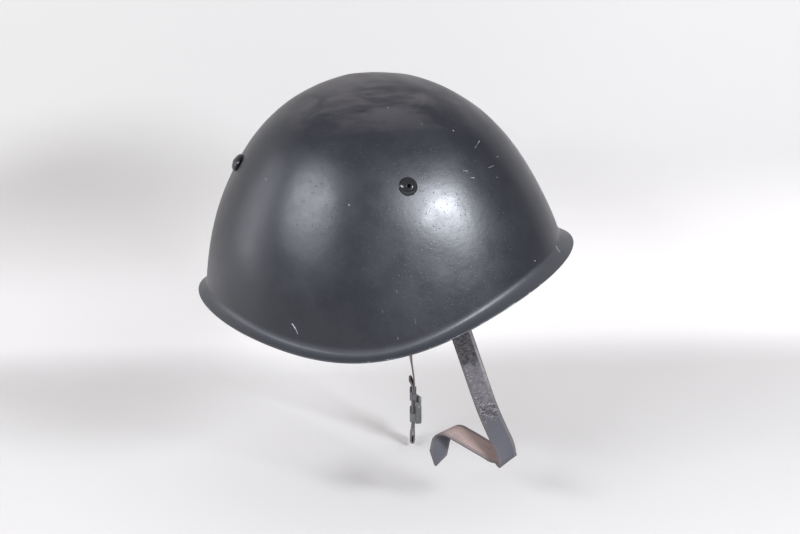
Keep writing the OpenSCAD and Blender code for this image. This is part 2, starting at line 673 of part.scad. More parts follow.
// Past the fold the strap runs up and back in a plane, and rolls over away from the
// wearer's right about a line that crosses it askew. s runs along it, t across it.
return_start = [102.9, -89.7, -109.4];
return_dir = unit([-0.84, 0.26, 0.47]);
return_side = unit(cross(cross(return_dir, [0.49, 0.72, 0.49]), return_dir));
return_back = cross(return_dir, return_side);
roll_skew = 31;
roll_turn = 142;
roll_at = 48.5;
roll_axis = sin(roll_skew) * return_dir - cos(roll_skew) * return_side;
roll_ahead = cos(roll_skew) * return_dir + sin(roll_skew) * return_side;
roll_centre = return_start + roll_at * return_dir + strap_w / 2 * return_side;
function return_point(s, t) = let(
    flat = return_start + s * return_dir + t * return_side,
    q = (flat - roll_centre) * roll_ahead,
    a = min(q / roll_r * 180 / PI, roll_turn),
    past = max(q - roll_r * roll_turn * PI / 180, 0))
    q < 0 ? flat : roll_centre + ((flat - roll_centre) * roll_axis) * roll_axis
        + roll_r * (sin(a) * roll_ahead + (1 - cos(a)) * return_back)
        + past * (cos(a) * roll_ahead + sin(a) * return_back);
return_slant = strap_w * tan(roll_skew);
return_rows = [for (s = [16, 24, 33, 42, 48, 51, 54, 57, 60, 63, 66, 69, 72])
    [return_point(s, 0), return_point(s - return_slant, strap_w)]];
// Rows that follow smoothly on from one another
function between(rows) = let(last = len(rows) - 1) [for (i = [0:last - 1], k = [0.5, 1])
    [for (e = [0, 1]) spline(rows[max(i - 1, 0)][e], rows[i][e], rows[i + 1][e],
        rows[min(i + 2, last)][e], k)]];
right_rows = concat(wrap_rows(-1, right_skew),
    stretch(wrap_start(-1, right_skew), wrap_down(-1, right_skew) * 5, leg_top, leg_dir(0) * 5,
        wrap_across(-1, right_skew), leg_across(0), 4),
    [for (i = [1:len(leg_rows) - 1]) leg_rows[i]],
    fold_rows,
    between(concat([fold_rows[len(fold_rows) - 1]], return_rows)),
    [[return_point(return_l - 0.5, 0), return_point(return_l + 0.5, strap_w)],
        [return_point(return_l + point_l, strap_w / 2 - 0.6), return_point(return_l + point_l, strap_w / 2 + 0.6)]]);
module strap_right() {
    color([0.3, 0.29, 0.31])
        difference() {
            strip(right_rows, strap_t);
            strap_rivet_place(-1, right_skew)
                cylinder(h = 20, d = small_shank_d + 2 * hole_gap, center = true);
        }
}

// The left strap turns edge on, hangs straight and doubles back through its buckle. Its
// frame stands on the straight stretch, with +X out of the strap's front.
left_skew = -5;
left_place = [50.1, 80, 0];
left_facing = -5.7;
module on_left_strap() {
    translate(left_place)
        rotate([0, 0, left_facing])
            children();
}
left_out = [cos(left_facing), sin(left_facing), 0];
left_level = [-sin(left_facing), cos(left_facing), 0];
function left_point(x, z) = left_place + left_out * x + [0, 0, z];
left_bow = left_point(-2.7, -78.6);
left_top = left_point(0, -103);
left_bow_dir = unit([0.11, 0, -1]);
turn_r = 1.3;
tail_foot = left_drop - 7.2;
tail_free = tail_level + 5;
left_rows = concat(wrap_rows(1, left_skew),
    stretch(wrap_start(1, left_skew), wrap_down(1, left_skew) * 35, left_bow, left_bow_dir * 35,
        wrap_across(1, left_skew), unit(mix(wrap_across(1, left_skew), left_level, 0.9)), 12),
    stretch(left_bow, left_bow_dir * 9, left_top, [0, 0, -9],
        unit(mix(wrap_across(1, left_skew), left_level, 0.9)), left_level, 5),
    [for (a = [0:22.5:180]) edges(left_point(turn_r * (cos(a) - 1), -left_drop - turn_r * sin(a)), left_level)],
    [edges(left_point(-ply, -tail_foot), left_level)],
    [for (k = [0:0.25:1]) let(w = k > 0.9 ? 0.45 : k > 0.7 ? 0.85 : 1)
        [for (e = [-1, 1]) left_point(-ply - tail_lift * k * k, mix(-tail_free, -tail_level, k))
            + e * w * strap_w / 2 * left_level]]);
module strap_left() {
    color([0.3, 0.29, 0.31])
        difference() {
            strip(left_rows, strap_t);
            strap_rivet_place(1, left_skew)
                cylinder(h = 20, d = small_shank_d + 2 * hole_gap, center = true);
        }
}

// The doubled strap's faces, which the keeper and the buckle clear
front_x = strap_t / 2 + move_gap;
back_x = -ply - strap_t / 2 - move_gap;
side_y = strap_w / 2 + move_gap;
module sleeve(t, z, h) {
    translate([back_x - t, -side_y - t, z])
        difference() {
            cube([front_x - back_x + 2 * t, 2 * (side_y + t), h]);
            translate([t, t, -1])
                cube([front_x - back_x, 2 * side_y, h + 2]);
        }
}

module keeper() {
    color([0.26, 0.25, 0.27])
        on_left_strap()
            sleeve(keeper_t, -buckle_level + keeper_gap, keeper_h);
}

// Pressed frame: a plate on the strap's front with two ears, and a bar round its back
knuckle_r = pin_d / 2 + pin_gap + 0.8;
pin_x = front_x + sheet_t + knuckle_r + 0.2;
pin_z = -buckle_level - 4.7;
ear_y = side_y + 1.4;
nose_reach = pin_x - strap_t / 2 - 0.35;
bar_h = 7;
bar_z = -buckle_level - 18;
module buckle_frame() {
    color([0.55, 0.58, 0.55])
        on_left_strap()
            difference() {
                union() {
                    translate([front_x, -ear_y, -buckle_level - buckle_h])
                        cube([sheet_t, 2 * ear_y, buckle_h]);
                    for (y = [-ear_y, ear_y - sheet_t])
                        translate([front_x, y, -buckle_level])
                            rotate([-90, 0, 0])
                                linear_extrude(sheet_t)
                                    polygon([[0, 0], [ear_depth - 0.4, ear_slope], [ear_depth, ear_slope + 0.6],
                                        [ear_depth, buckle_h - 1], [ear_depth - 1, buckle_h], [0, buckle_h]]);
                    sleeve(sheet_t, bar_z, bar_h);
                }
                translate([front_x - 1, -side_y + 1, pin_z - 2.6])
                    cube([sheet_t + 2, 2 * side_y - 2, 5.2]);
                translate([pin_x, 0, pin_z])
                    rotate([90, 0, 0])
                        cylinder(h = 40, d = pin_d + 2 * hole_gap, center = true);
            }
}

module clamp_pin() {
    color([0.6, 0.6, 0.58])
        on_left_strap()
            translate([pin_x, 0, pin_z])
                rotate([90, 0, 0])
                    cylinder(h = 2 * ear_y + 0.8, d = pin_d, center = true);
}

// Clamp plate: a knuckle on the pin, a nose that presses the strap, and a thumb plate
clamp_half = ear_y - sheet_t - move_gap;
clamp_t = 1;
module clamp_plate() {
    color([0.62, 0.65, 0.62])
        on_left_strap()
            translate([pin_x, 0, pin_z])
                difference() {
                    union() {
                        rotate([90, 0, 0])
                            cylinder(h = 2 * clamp_half, r = knuckle_r, center = true);
                        translate([-nose_reach, -clamp_half + 1.8, -0.6])
                            cube([nose_reach - pin_d / 2 - pin_gap, 2 * clamp_half - 3.6, 1.2]);
                        translate([knuckle_r - clamp_t, -clamp_half, 5.5 - buckle_h])
                            cube([clamp_t, 2 * clamp_half, buckle_h - 5.5]);
                    }
                    rotate([90, 0, 0])
                        cylinder(h = 40, d = pin_d + 2 * pin_gap, center = true);
                }
}

shell();
vent_rivet(rivet_phis[0]);  // vent_rivet_rear
vent_rivet(rivet_phis[1]);  // vent_rivet_right
vent_rivet(rivet_phis[2]);  // vent_rivet_left
rivet_washers();
hanger(rivet_phis[0]);  // hanger_rear
hanger(rivet_phis[1]);  // hanger_right
hanger(rivet_phis[2]);  // hanger_left
hanger_rivets();
liner_hoop();
felt_strip();
sweatband();
tongue(1);  // tongue_1
tongue(2);  // tongue_2
tongue(3);  // tongue_3
tongue(4);  // tongue_4
tongue(5);  // tongue_5
tongue(6);  // tongue_6
tongue(7);  // tongue_7
tongue(8);  // tongue_8
crown_lace();
lace_knot();
bracket(-1);  // bracket_right
bracket(1);  // bracket_left
bracket_rivets();
wire_loop(-1);  // wire_loop_right
wire_loop(1);  // wire_loop_left
strap_right();
strap_left();
strap_rivet(-1, right_skew);  // strap_rivet_right
strap_rivet(1, left_skew);  // strap_rivet_left
keeper();
buckle_frame();
clamp_pin();
clamp_plate();
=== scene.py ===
"""Looks of the parade helmet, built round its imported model.

+X is the front, +Y the wearer's left and +Z up, with the origin in the head opening.
Sizes are in millimetres and turn into metres when a mesh is made. Angles are in degrees
in the fields of the classes and in radians inside the formulas.
"""

import logging
from collections.abc import Callable
from dataclasses import dataclass, field
from enum import Enum

import bpy
import numpy as np
from mathutils import Matrix


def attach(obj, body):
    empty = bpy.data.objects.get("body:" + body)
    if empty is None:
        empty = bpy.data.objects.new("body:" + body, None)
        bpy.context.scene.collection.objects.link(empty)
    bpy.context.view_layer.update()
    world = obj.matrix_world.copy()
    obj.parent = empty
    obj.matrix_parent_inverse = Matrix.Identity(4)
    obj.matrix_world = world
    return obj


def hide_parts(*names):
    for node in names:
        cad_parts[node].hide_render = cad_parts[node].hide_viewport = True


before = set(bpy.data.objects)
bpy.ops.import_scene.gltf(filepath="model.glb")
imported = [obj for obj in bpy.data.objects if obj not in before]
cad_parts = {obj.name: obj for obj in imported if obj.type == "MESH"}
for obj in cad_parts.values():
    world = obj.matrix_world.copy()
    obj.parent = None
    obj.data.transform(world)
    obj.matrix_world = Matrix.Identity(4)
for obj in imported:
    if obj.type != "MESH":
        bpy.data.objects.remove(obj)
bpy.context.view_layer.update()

MM = 0.001
UP = np.array([0, 0, 1.0])
STAGE_REACH = 6000.0
COATS: dict[str, bpy.types.Material] = {}
Socket = bpy.types.NodeSocket
Value = float | tuple | Socket
Numbers = float | np.ndarray
log = logging.getLogger("parade_helmet")


class Side(Enum):
    """Side of the wearer, as the sign of Y."""

    RIGHT = -1
    LEFT = 1


class Face(Enum):
    """Part of a strip's section, in the order of the strip's materials."""

    OUTER = 0
    EDGE = 1
    INNER = 2


def unit(vectors: np.ndarray) -> np.ndarray:
    """Vectors of length one."""
    return vectors / np.linalg.norm(vectors, axis=-1, keepdims=True)


def mix(start: Numbers, end: Numbers, share: Numbers) -> Numbers:
    """Point or number between two others, by its share of the way."""
    return start + (end - start) * share


def smooth(share: Numbers) -> Numbers:
    """Share of the way that starts and stops gently: 3k squared less 2k cubed."""
    return share * share * (3 - 2 * share)


def flat_map(along: np.ndarray, across: np.ndarray) -> np.ndarray:
    """Map of a grid, in metres.

    Args:
        along: distance of each row, in millimetres.
        across: distance of each column, in millimetres.

    Returns:
        Array of rows by columns by 2.
    """
    grid = np.meshgrid(np.asarray(along) * MM, np.asarray(across) * MM, indexing="ij")
    return np.stack(grid, -1)


def run_of(path: np.ndarray, closed: bool = False) -> np.ndarray:
    """Distance run at each point of a path, and back at its first where it is closed."""
    path = np.concatenate([path, path[:1]]) if closed else path
    return np.concatenate([[0], np.cumsum(np.linalg.norm(np.diff(path, axis=0), axis=1))])


def heading(path: np.ndarray, closed: bool) -> np.ndarray:
    """Direction of a path at each of its points."""
    return unit(np.roll(path, -1, 0) - np.roll(path, 1, 0) if closed else np.gradient(path, axis=0))


def full_turn(count: int) -> np.ndarray:
    """Even angles once round."""
    return np.arange(count) * 2 * np.pi / count


def paired(*numbers: Numbers) -> list[np.ndarray]:
    """Numbers as arrays of one shape."""
    return np.broadcast_arrays(*(np.asarray(n, float) for n in numbers))


@dataclass
class Skin:
    """Gathers closed surfaces into the mesh of one piece."""

    name: str
    points: list = field(default_factory=list)
    faces: list = field(default_factory=list)
    maps: list = field(default_factory=list)
    regions: list = field(default_factory=list)
    count: int = 0

    def grid(self, points: np.ndarray, chart: np.ndarray, closed: bool = False,
             regions: int | np.ndarray = 0) -> "Skin":
        """Adds one closed surface from a grid of points, whose columns close on themselves.

        Args:
            points: rows by columns by 3, in millimetres.
            chart: map of the corners, one column longer, and one row where the rows close.
            closed: whether the rows close too; if not, a flat face closes either end.
            regions: material number of each column of faces, or one for all.

        Returns:
            The skin itself.
        """
        rows, columns = points.shape[:2]
        grids = np.meshgrid(np.arange(rows - (not closed)), np.arange(columns), indexing="ij")
        i, j = (g.ravel() for g in grids)
        next_i, next_j = (i + 1) % rows, (j + 1) % columns
        quads = np.stack([i * columns + j, next_i * columns + j, next_i * columns + next_j,
                          i * columns + next_j], -1)
        flat = points.reshape(-1, 3)
        a, b, c, d = (flat[quads[:, k]] for k in range(4))
        volume = np.sum(np.cross(a, b) * c) + np.sum(np.cross(a, c) * d)
        faces = quads.tolist()
        maps = list(np.stack([chart[i, j], chart[i + 1, j], chart[i + 1, j + 1], chart[i, j + 1]], 1))
        material = np.broadcast_to(regions, (columns,))[j].tolist()
        for row, way in () if closed else ((0, 1), (rows - 1, -1)):
            order = np.arange(columns)[::way]
            ring = flat[row * columns + order]
            volume += np.sum(np.cross(ring, np.roll(ring, -1, 0)) @ ring.mean(0))
            faces.append((row * columns + order).tolist())
            maps.append(chart[row, order])
            material.append(int(np.ravel(regions)[-1]))
        if volume < 0:
            faces = [f[::-1] for f in faces]
            maps = [m[::-1] for m in maps]
        self.faces += [[v + self.count for v in f] for f in faces]
        self.maps += maps
        self.regions += material
        self.points.append(flat)
        self.count += len(flat)
        return self

    def build(self, crease: float = 40.0) -> bpy.types.Object:
        """Makes the mesh and its object at the origin.

        Args:
            crease: angle in degrees past which an edge stays sharp.

        Returns:
            The new object, linked to the scene.
        """
        mesh = bpy.data.meshes.new(self.name)
        mesh.from_pydata(np.concatenate(self.points) * MM, [], self.faces)
        layer = mesh.uv_layers.new(name="Run")
        layer.data.foreach_set("uv", np.concatenate(self.maps).astype(np.float32).ravel())
        mesh.polygons.foreach_set("material_index", np.array(self.regions, np.int32))
        mesh.polygons.foreach_set("use_smooth", np.ones(len(self.faces), bool))
        mesh.update()
        mesh.set_sharp_from_angle(angle=np.radians(crease))
        return show(self.name, mesh)


def show(name: str, data: bpy.types.ID) -> bpy.types.Object:
    """Adds an object to the scene."""
    piece = bpy.data.objects.new(name, data)
    bpy.context.scene.collection.objects.link(piece)
    return piece


def dress(piece: bpy.types.Object, coats: list[str], body: str, nodes: tuple | list = ()) -> bpy.types.Object:
    """Gives a piece its finishes and body, hides the CAD nodes that it stands for, and reports it.

    Args:
        piece: the object.
        coats: names of its finishes, in the order of its regions.
        body: CAD body that it rides on.
        nodes: CAD nodes that it stands for.

    Returns:
        The same object.
    """
    for coat in coats:
        piece.data.materials.append(COATS[coat])
    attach(piece, body)
    if nodes:
        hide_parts(*nodes)
    log.info("%s: %d faces on %s", piece.name, len(piece.data.polygons), body)
    return piece


def bored(piece: bpy.types.Object, cutters: Skin) -> bpy.types.Object:
    """Cuts holes through a piece, and removes the cutters.

    Args:
        piece: the object to cut.
        cutters: closed surfaces to take away.

    Returns:
        The same object.
    """
    tool = cutters.build()
    used = (piece.data, tool.data)
    cut = piece.modifiers.new("holes", "BOOLEAN")
    cut.operation = "DIFFERENCE"
    cut.solver = "EXACT"
    cut.object = tool
    evaluated = piece.evaluated_get(bpy.context.evaluated_depsgraph_get())
    mesh = bpy.data.meshes.new_from_object(evaluated)
    piece.modifiers.clear()
    piece.data = mesh
    bpy.data.objects.remove(tool)
    for old in used:
        bpy.data.meshes.remove(old)
    return piece


def run_on(rows: np.ndarray, step: float) -> np.ndarray:
    """Rows at even steps: a cubic through the given rows, by the distance run.

    Args:
        rows: rows by points by 3.
        step: distance between the new rows.

    Returns:
        The new rows.
    """
    middle = rows.mean(1)
    run = run_of(middle)
    slope = np.gradient(rows, run, axis=0)
    at = np.linspace(0, run[-1], int(np.ceil(run[-1] / step)) + 1)
    i = np.clip(np.searchsorted(run, at, "right") - 1, 0, len(run) - 2)
    gap = (run[i + 1] - run[i])[:, None, None]
    k = ((at - run[i])[:, None, None]) / gap
    return ((1 + 2 * k) * (1 - k) ** 2 * rows[i] + k * (1 - k) ** 2 * gap * slope[i]
            + k * k * (3 - 2 * k) * rows[i + 1] + k * k * (k - 1) * gap * slope[i + 1])


def bezier(a: np.ndarray, b: np.ndarray, c: np.ndarray, d: np.ndarray, share: np.ndarray) -> np.ndarray:
    """Points of a cubic curve with ends a and d and handles b and c."""
    k = np.asarray(share)[:, None]
    return (1 - k) ** 3 * a + 3 * k * (1 - k) ** 2 * b + 3 * k * k * (1 - k) * c + k ** 3 * d


def band_section(thickness: float, edge: float, across: int = 8) -> tuple[np.ndarray, np.ndarray, np.ndarray]:
    """Section of a strip: flat faces joined by half-round edges.

    Args:
        thickness: of the strip.
        edge: how far the round edge reaches in.
        across: faces over the width of each side.

    Returns:
        Share of the half width, offset inwards from it, and height, one of each a point;
        and the region of each column of faces.
    """
    span = np.linspace(-1, 1, across + 1)
    turn = np.radians([60, 30, 0, -30, -60])
    reach = edge * (1 - np.cos(turn))
    share = np.concatenate([span, np.ones(5), span[::-1], -np.ones(5)])
    inset = np.concatenate([edge * span, reach, edge * span[::-1], -reach])
    flat = np.ones(across + 1)
    height = thickness / 2 * np.concatenate([flat, np.sin(turn), -flat, -np.sin(turn)])
    regions = np.repeat([face.value for face in (Face.OUTER, Face.EDGE, Face.INNER, Face.EDGE)],
                        [across, 6, across, 6])
    return np.stack([share, inset], -1), height, regions


def strip(skin: Skin, rows: np.ndarray, thickness: float, edge: float = 0.4, closed: bool = False,
          across: int = 8, ends: float = 0.5, swell: Numbers = 0.0) -> Skin:
    """Strip carried along rows of two edges; its outer side lies along run x across.

    Each row's section stands on the row's middle: it spans the row by its share of the half
    width, and rises along the normal, the cross product of the run and the way across.

    Args:
        skin: what the strip is added to.
        rows: rows by 2 edges by 3.
        thickness: of the strip.
        edge: reach of its round edges.
        closed: whether the last row meets the first.
        across: faces over the width.
        ends: length over which the two ends thin down to a round nose.
        swell: extra height of the section, rows by columns.

    Returns:
        The skin.
    """
    middle = rows.mean(1)
    along = heading(middle, closed)
    span = rows[:, 1] - rows[:, 0]
    half = np.linalg.norm(span, axis=1) / 2
    normal = unit(np.cross(along, span))
    place, height, regions = band_section(thickness, edge, across)
    reach = place[:, 0] * half[:, None] - place[:, 1] * np.minimum(1, half[:, None] / 2)
    run = run_of(middle, closed)
    rise = np.ones((len(rows), 1)) * height + swell
    if not closed:
        gap = np.minimum(run, run[-1] - run) / ends
        rise = rise * np.sqrt(1 - (1 - np.clip(gap, 0.02, 1)) ** 2)[:, None]
    points = middle[:, None] + unit(span)[:, None] * reach[..., None] + normal[:, None] * rise[..., None]
    wide = place[:, 0] * half.max()
    return skin.grid(points, flat_map(run, np.append(wide, wide[0])), closed, regions)


def tube(skin: Skin, path: np.ndarray, radius: Numbers, closed: bool = False, sides: int = 16,
         twist: Numbers = 1.0) -> Skin:
    """Round bar or cord along a path.

    Each ring stands across the path, turned from the ring before it as little as can be
    told from a fixed direction; twist gives the radius its change round the ring.

    Args:
        skin: what the tube is added to.
        path: its middle line, points by 3.
        radius: one number, or one a point.
        closed: whether the path closes.
        sides: points in a ring.
        twist: factor on the radius, rings by sides.

    Returns:
        The skin.
    """
    along = heading(path, closed)
    _, _, axes = np.linalg.svd(path - path.mean(0), full_matrices=False)
    first = unit(np.cross(along, axes[-1]) + 1e-9)
    second = np.cross(along, first)
    angle = full_turn(sides)
    size = np.broadcast_to(np.asarray(radius, float), (len(path),))[:, None] * twist
    ring = (first[:, None] * np.cos(angle)[None, :, None] + second[:, None] * np.sin(angle)[None, :, None])
    points = path[:, None] + ring * np.broadcast_to(size, (len(path), sides))[..., None]
    round_ = np.linspace(0, 2 * np.pi * np.max(radius), sides + 1)
    return skin.grid(points, flat_map(run_of(path, closed), round_), closed)


@dataclass(frozen=True)
class Stand:
    """Place and direction on which a turned or flat part stands, with its own X, Y and Z."""

    origin: np.ndarray
    x: np.ndarray
    y: np.ndarray
    z: np.ndarray

    @classmethod
    def on(cls, origin: np.ndarray | list, z: np.ndarray | list) -> "Stand":
        """Stand with its Z along a direction and its X level.

        Args:
            origin: point that it stands on.
            z: direction of its Z.

        Returns:
            The stand.
        """
        z = unit(np.asarray(z, float))
        rough = np.cross(UP, z)
        rough = rough if np.linalg.norm(rough) > 1e-6 else np.array([1.0, 0, 0])
        across = unit(rough - (rough @ z) * z)
        return cls(np.asarray(origin, float), across, np.cross(z, across), z)

    def place(self, local: np.ndarray) -> np.ndarray:
        """Local points in the row frame."""
        return self.origin + local[..., :1] * self.x + local[..., 1:2] * self.y + local[..., 2:] * self.z


def turned(skin: Skin, stand: Stand, profile: list | np.ndarray, sides: int = 48) -> Skin:
    """Part turned on a lathe: a closed profile of radius and height swept round Z.

    Args:
        skin: what it is added to.
        stand: where it stands.
        profile: points of radius and height. It starts and ends on the axis, or it is a
            closed loop clear of the axis.
        sides: points round it.

    Returns:
        The skin.
    """
    line = np.array(profile, float)
    angle = full_turn(sides)
    solid = line[0, 0] < 1e-6
    if solid:
        line[[0, -1], 0] = 0.02
    local = np.stack([line[:, :1] * np.cos(angle), line[:, :1] * np.sin(angle), line[:, 1:] + 0 * angle], -1)
    chart = flat_map(run_of(line, True), np.linspace(0, 2 * np.pi * line[:, 0].max(), sides + 1))
    return skin.grid(stand.place(local), chart, not solid)


def drill(skin: Skin, stand: Stand, radius: float, reach: float) -> Skin:
    """Rod that reaches as far to either side of its stand, for cutting a hole."""
    return turned(skin, stand, [(0, -reach), (radius, -reach), (radius, reach), (0, reach)], 32)


def rounded(profile: list | np.ndarray, radius: float, points: int = 4) -> np.ndarray:
    """Outline with each corner rounded.

    A corner is replaced by a curve from one side to the other, whose handles meet in it.

    Args:
        profile: corners, points by 2.
        radius: how far from the corner the curve starts, at most half of either side.
        points: points on each curve, less one.

    Returns:
        The outline's points.
    """
    corners = np.asarray(profile, float)
    before, after = np.roll(corners, 1, 0), np.roll(corners, -1, 0)
    back, ahead = before - corners, after - corners
    reach = np.minimum(radius, 0.45 * np.minimum(np.linalg.norm(back, axis=1), np.linalg.norm(ahead, axis=1)))
    start = corners + unit(back) * reach[:, None]
    end = corners + unit(ahead) * reach[:, None]
    k = np.linspace(0, 1, points + 1)[None, :, None]
    curve = (1 - k) ** 2 * start[:, None] + 2 * k * (1 - k) * corners[:, None] + k * k * end[:, None]
    return curve.reshape(-1, 2)


def inset_outline(outline: np.ndarray, depth: float) -> np.ndarray:
    """Outline moved inwards by a depth along the normals of its points.

    Args:
        outline: points, by 2.
        depth: how far inwards.

    Returns:
        The moved points.
    """
    tangent = unit(np.roll(outline, -1, 0) - np.roll(outline, 1, 0))
    area = np.sum(outline[:, 0] * np.roll(outline[:, 1], -1) - outline[:, 1] * np.roll(outline[:, 0], -1))
    inward = np.stack([-tangent[:, 1], tangent[:, 0]], -1) * np.sign(area)
    return outline + inward * depth


def plate(skin: Skin, stand: Stand, outline: np.ndarray, low: float, high: float, bevel: float = 0.2,
          hole: np.ndarray | None = None) -> Skin:
    """Flat plate with rounded edges, or a ring where it has a hole with as many points.

    The section climbs one edge in a quarter circle, a wall and a quarter circle, and the
    same again down the hole.

    Args:
        skin: what it is added to.
        stand: where it stands.
        outline: outer points, by 2.
        low: height of its lower face.
        high: height of its upper face.
        bevel: radius of its edges.
        hole: inner points, by 2, or None.

    Returns:
        The skin.
    """
    turn = np.radians([0, 30, 60, 90])
    inward = bevel * (1 - np.sin(turn))
    rise = bevel * (1 - np.cos(turn))
    depth = np.concatenate([[bevel + 0.12], inward, inward[::-1], [bevel + 0.12]])
    height = np.concatenate([[low], low + rise, high - rise[::-1], [high]])

    def wall(edge: np.ndarray, way: int) -> np.ndarray:
        """Rows of points up an edge, inset one way or the other."""
        return np.stack([np.concatenate([inset_outline(edge, way * d), np.full((len(edge), 1), h)], 1)
                         for d, h in zip(depth, height)])
    rows = wall(outline, 1)
    if hole is not None:
        rows = np.concatenate([rows, wall(hole, -1)[::-1]])
    chart = flat_map(np.arange(len(rows) + 1) * 0.3, run_of(outline, True))
    return skin.grid(stand.place(rows), chart, hole is not None)


def circle(radius: float, sides: int = 48) -> np.ndarray:
    """Points of a circle, by 2."""
    angle = full_turn(sides)
    return radius * np.stack([np.cos(angle), np.sin(angle)], -1)


class Links:
    """Short hand for the nodes and links of one material or group."""

    def __init__(self, tree: bpy.types.NodeTree) -> None:
        """Keeps the tree that nodes are added to."""
        self.tree = tree

    def node(self, kind: str, inputs: dict | None = None, **settings: object) -> bpy.types.Node:
        """Adds a node.

        Args:
            kind: its type name.
            inputs: values or sockets by input name or number.
            settings: its properties.

        Returns:
            The node.
        """
        made = self.tree.nodes.new(kind)
        for name, value in settings.items():
            setattr(made, name, value)
        for key, value in (inputs or {}).items():
            if isinstance(value, Socket):
                self.tree.links.new(value, made.inputs[key])
            else:
                made.inputs[key].default_value = value
        return made

    def math(self, operation: str, first: Value, second: Value = 0.0, third: Value = 0.0,
             clamp: bool = False) -> Socket:
        """Output of a Math node."""
        return self.node("ShaderNodeMath", {0: first, 1: second, 2: third}, operation=operation,
                         use_clamp=clamp).outputs[0]

    def times(self, first: Value, second: Value) -> Socket:
        """Product of two numbers."""
        return self.math("MULTIPLY", first, second)

    def added(self, base: Value, value: Value, factor: Value) -> Socket:
        """Base with a value times a factor added."""
        return self.math("MULTIPLY_ADD", value, factor, base)

    def ridge(self, value: Socket) -> Socket:
        """Distance of a value from one half."""
        return self.math("ABSOLUTE", self.math("SUBTRACT", value, 0.5))

    def vector(self, operation: str, first: Value, second: Value = (0.0, 0.0, 0.0),
               output: int = 0) -> Socket:
        """Output of a Vector Math node."""
        return self.node("ShaderNodeVectorMath", {0: first, 1: second}, operation=operation).outputs[output]

    def scaled(self, vector: Socket, scale: tuple) -> Socket:
        """Vector with each axis multiplied by its own factor."""
        return self.vector("MULTIPLY", vector, scale)

    def split(self, vector: Socket) -> bpy.types.NodeOutputs:
        """X, Y and Z of a vector."""
        return self.node("ShaderNodeSeparateXYZ", {0: vector}).outputs

    def band(self, value: Value, low: float, high: float, start: float = 0.0, end: float = 1.0) -> Socket:
        """Value carried smoothly from start to end between low and high."""
        return self.node("ShaderNodeMapRange", {"Value": value, "From Min": low, "From Max": high,
                                                "To Min": start, "To Max": end},
                         interpolation_type="SMOOTHSTEP").outputs[0]

    def noise(self, vector: Socket, scale: Value, detail: float = 3.0, roughness: float = 0.55,
              distortion: float = 0.0) -> Socket:
        """Height of a noise over a vector."""
        return self.node("ShaderNodeTexNoise", {"Vector": vector, "Scale": scale, "Detail": detail,
                                                "Roughness": roughness, "Distortion": distortion}).outputs[0]

    def blend(self, share: Value, first: Value, second: Value) -> Socket:
        """Colour between two others."""
        return self.node("ShaderNodeMix", {0: share, 6: first, 7: second}, data_type="RGBA").outputs[2]

    def tint(self, tone: Value, colour: tuple, mask: Value, share: Value) -> Socket:
        """Tone carried towards a colour by a mask times a share."""
        return self.blend(self.times(mask, share), tone, colour)


def rgb(red: int, green: int, blue: int) -> tuple[float, float, float, float]:
    """Linear colour of a screen colour, given as 0 to 255."""
    share = np.array([red, green, blue]) / 255
    linear = np.where(share <= 0.04045, share / 12.92, ((share + 0.055) / 1.055) ** 2.4)
    return (*linear.tolist(), 1.0)


def lighter(colour: tuple, factor: float) -> tuple[float, float, float, float]:
    """Linear colour with its light multiplied."""
    return (*(c * factor for c in colour[:3]), 1.0)


def group(name: str, inputs: dict, lay: Callable) -> bpy.types.NodeTree:
    """Shader node group with named sockets, whose outputs are numbers.

    Args:
        name: of the group.
        inputs: default of each number by name, or None for a vector.
        lay: function that lays its nodes, and gives its outputs by name.

    Returns:
        The group.
    """
    tree = bpy.data.node_groups.new(name, "ShaderNodeTree")
    for key, default in inputs.items():
        kind = "NodeSocketVector" if default is None else "NodeSocketFloat"
        socket = tree.interface.new_socket(name=key, in_out="INPUT", socket_type=kind)
        if default is not None:
            socket.default_value = default
    made = lay(Links(tree), tree.nodes.new("NodeGroupInput").outputs)
    for key in made:
        tree.interface.new_socket(name=key, in_out="OUTPUT", socket_type="NodeSocketFloat")
    end = tree.nodes.new("NodeGroupOutput")
    for key, socket in made.items():
        tree.links.new(socket, end.inputs[key])
    return tree


def lay_stroke(links: Links, given: bpy.types.NodeOutputs) -> dict[str, Socket]:
    """Scratch: 1 within its width of the line from one point to the other, worn at its rim.

    The distance is the length of what is left of the way from the first point when its
    share along the line, kept between 0 and 1, is taken off.

    Args:
        links: of the group.
        given: its inputs.

    Returns:
        Its outputs by name.
    """
    line = links.vector("SUBTRACT", given["To"], given["From"])
    offset = links.vector("SUBTRACT", given["Vector"], given["From"])
    dot = links.vector("DOT_PRODUCT", offset, line, output=1)
    size = links.vector("DOT_PRODUCT", line, line, output=1)
    share = links.math("DIVIDE", dot, links.math("MAXIMUM", size, 1e-12), clamp=True)
    reached = links.node("ShaderNodeVectorMath", {0: line, 3: share}, operation="SCALE").outputs[0]
    away = links.vector("LENGTH", links.vector("SUBTRACT", offset, reached), output=1)
    away = links.times(away, links.band(links.noise(given["Vector"], 900.0, 3.0), 0.3, 0.7, 0.55, 1.9))
    ratio = links.math("DIVIDE", away, given["Width"])
    return {"Mask": links.band(ratio, 0.75, 1.15, 1.0, 0.0)}


def lay_grain(links: Links, given: bpy.types.NodeOutputs) -> dict[str, Socket]:
    """Soft waves of sprayed paint, plus fine grain, less pits.

    Args:
        links: of the group.
        given: its inputs.

    Returns:
        Its outputs by name.
    """
    spot = given["Vector"]
    waves = links.noise(spot, 210.0, 2.0)
    fine = links.noise(spot, 1100.0, 3.0)
    pits = links.band(links.noise(spot, 640.0, 2.0), 0.63, 0.74)
    height = links.added(links.times(fine, given["Fine"]), waves, given["Waves"])
    return {"Height": links.math("SUBTRACT", height, links.times(pits, given["Pits"])), "Pit": pits}


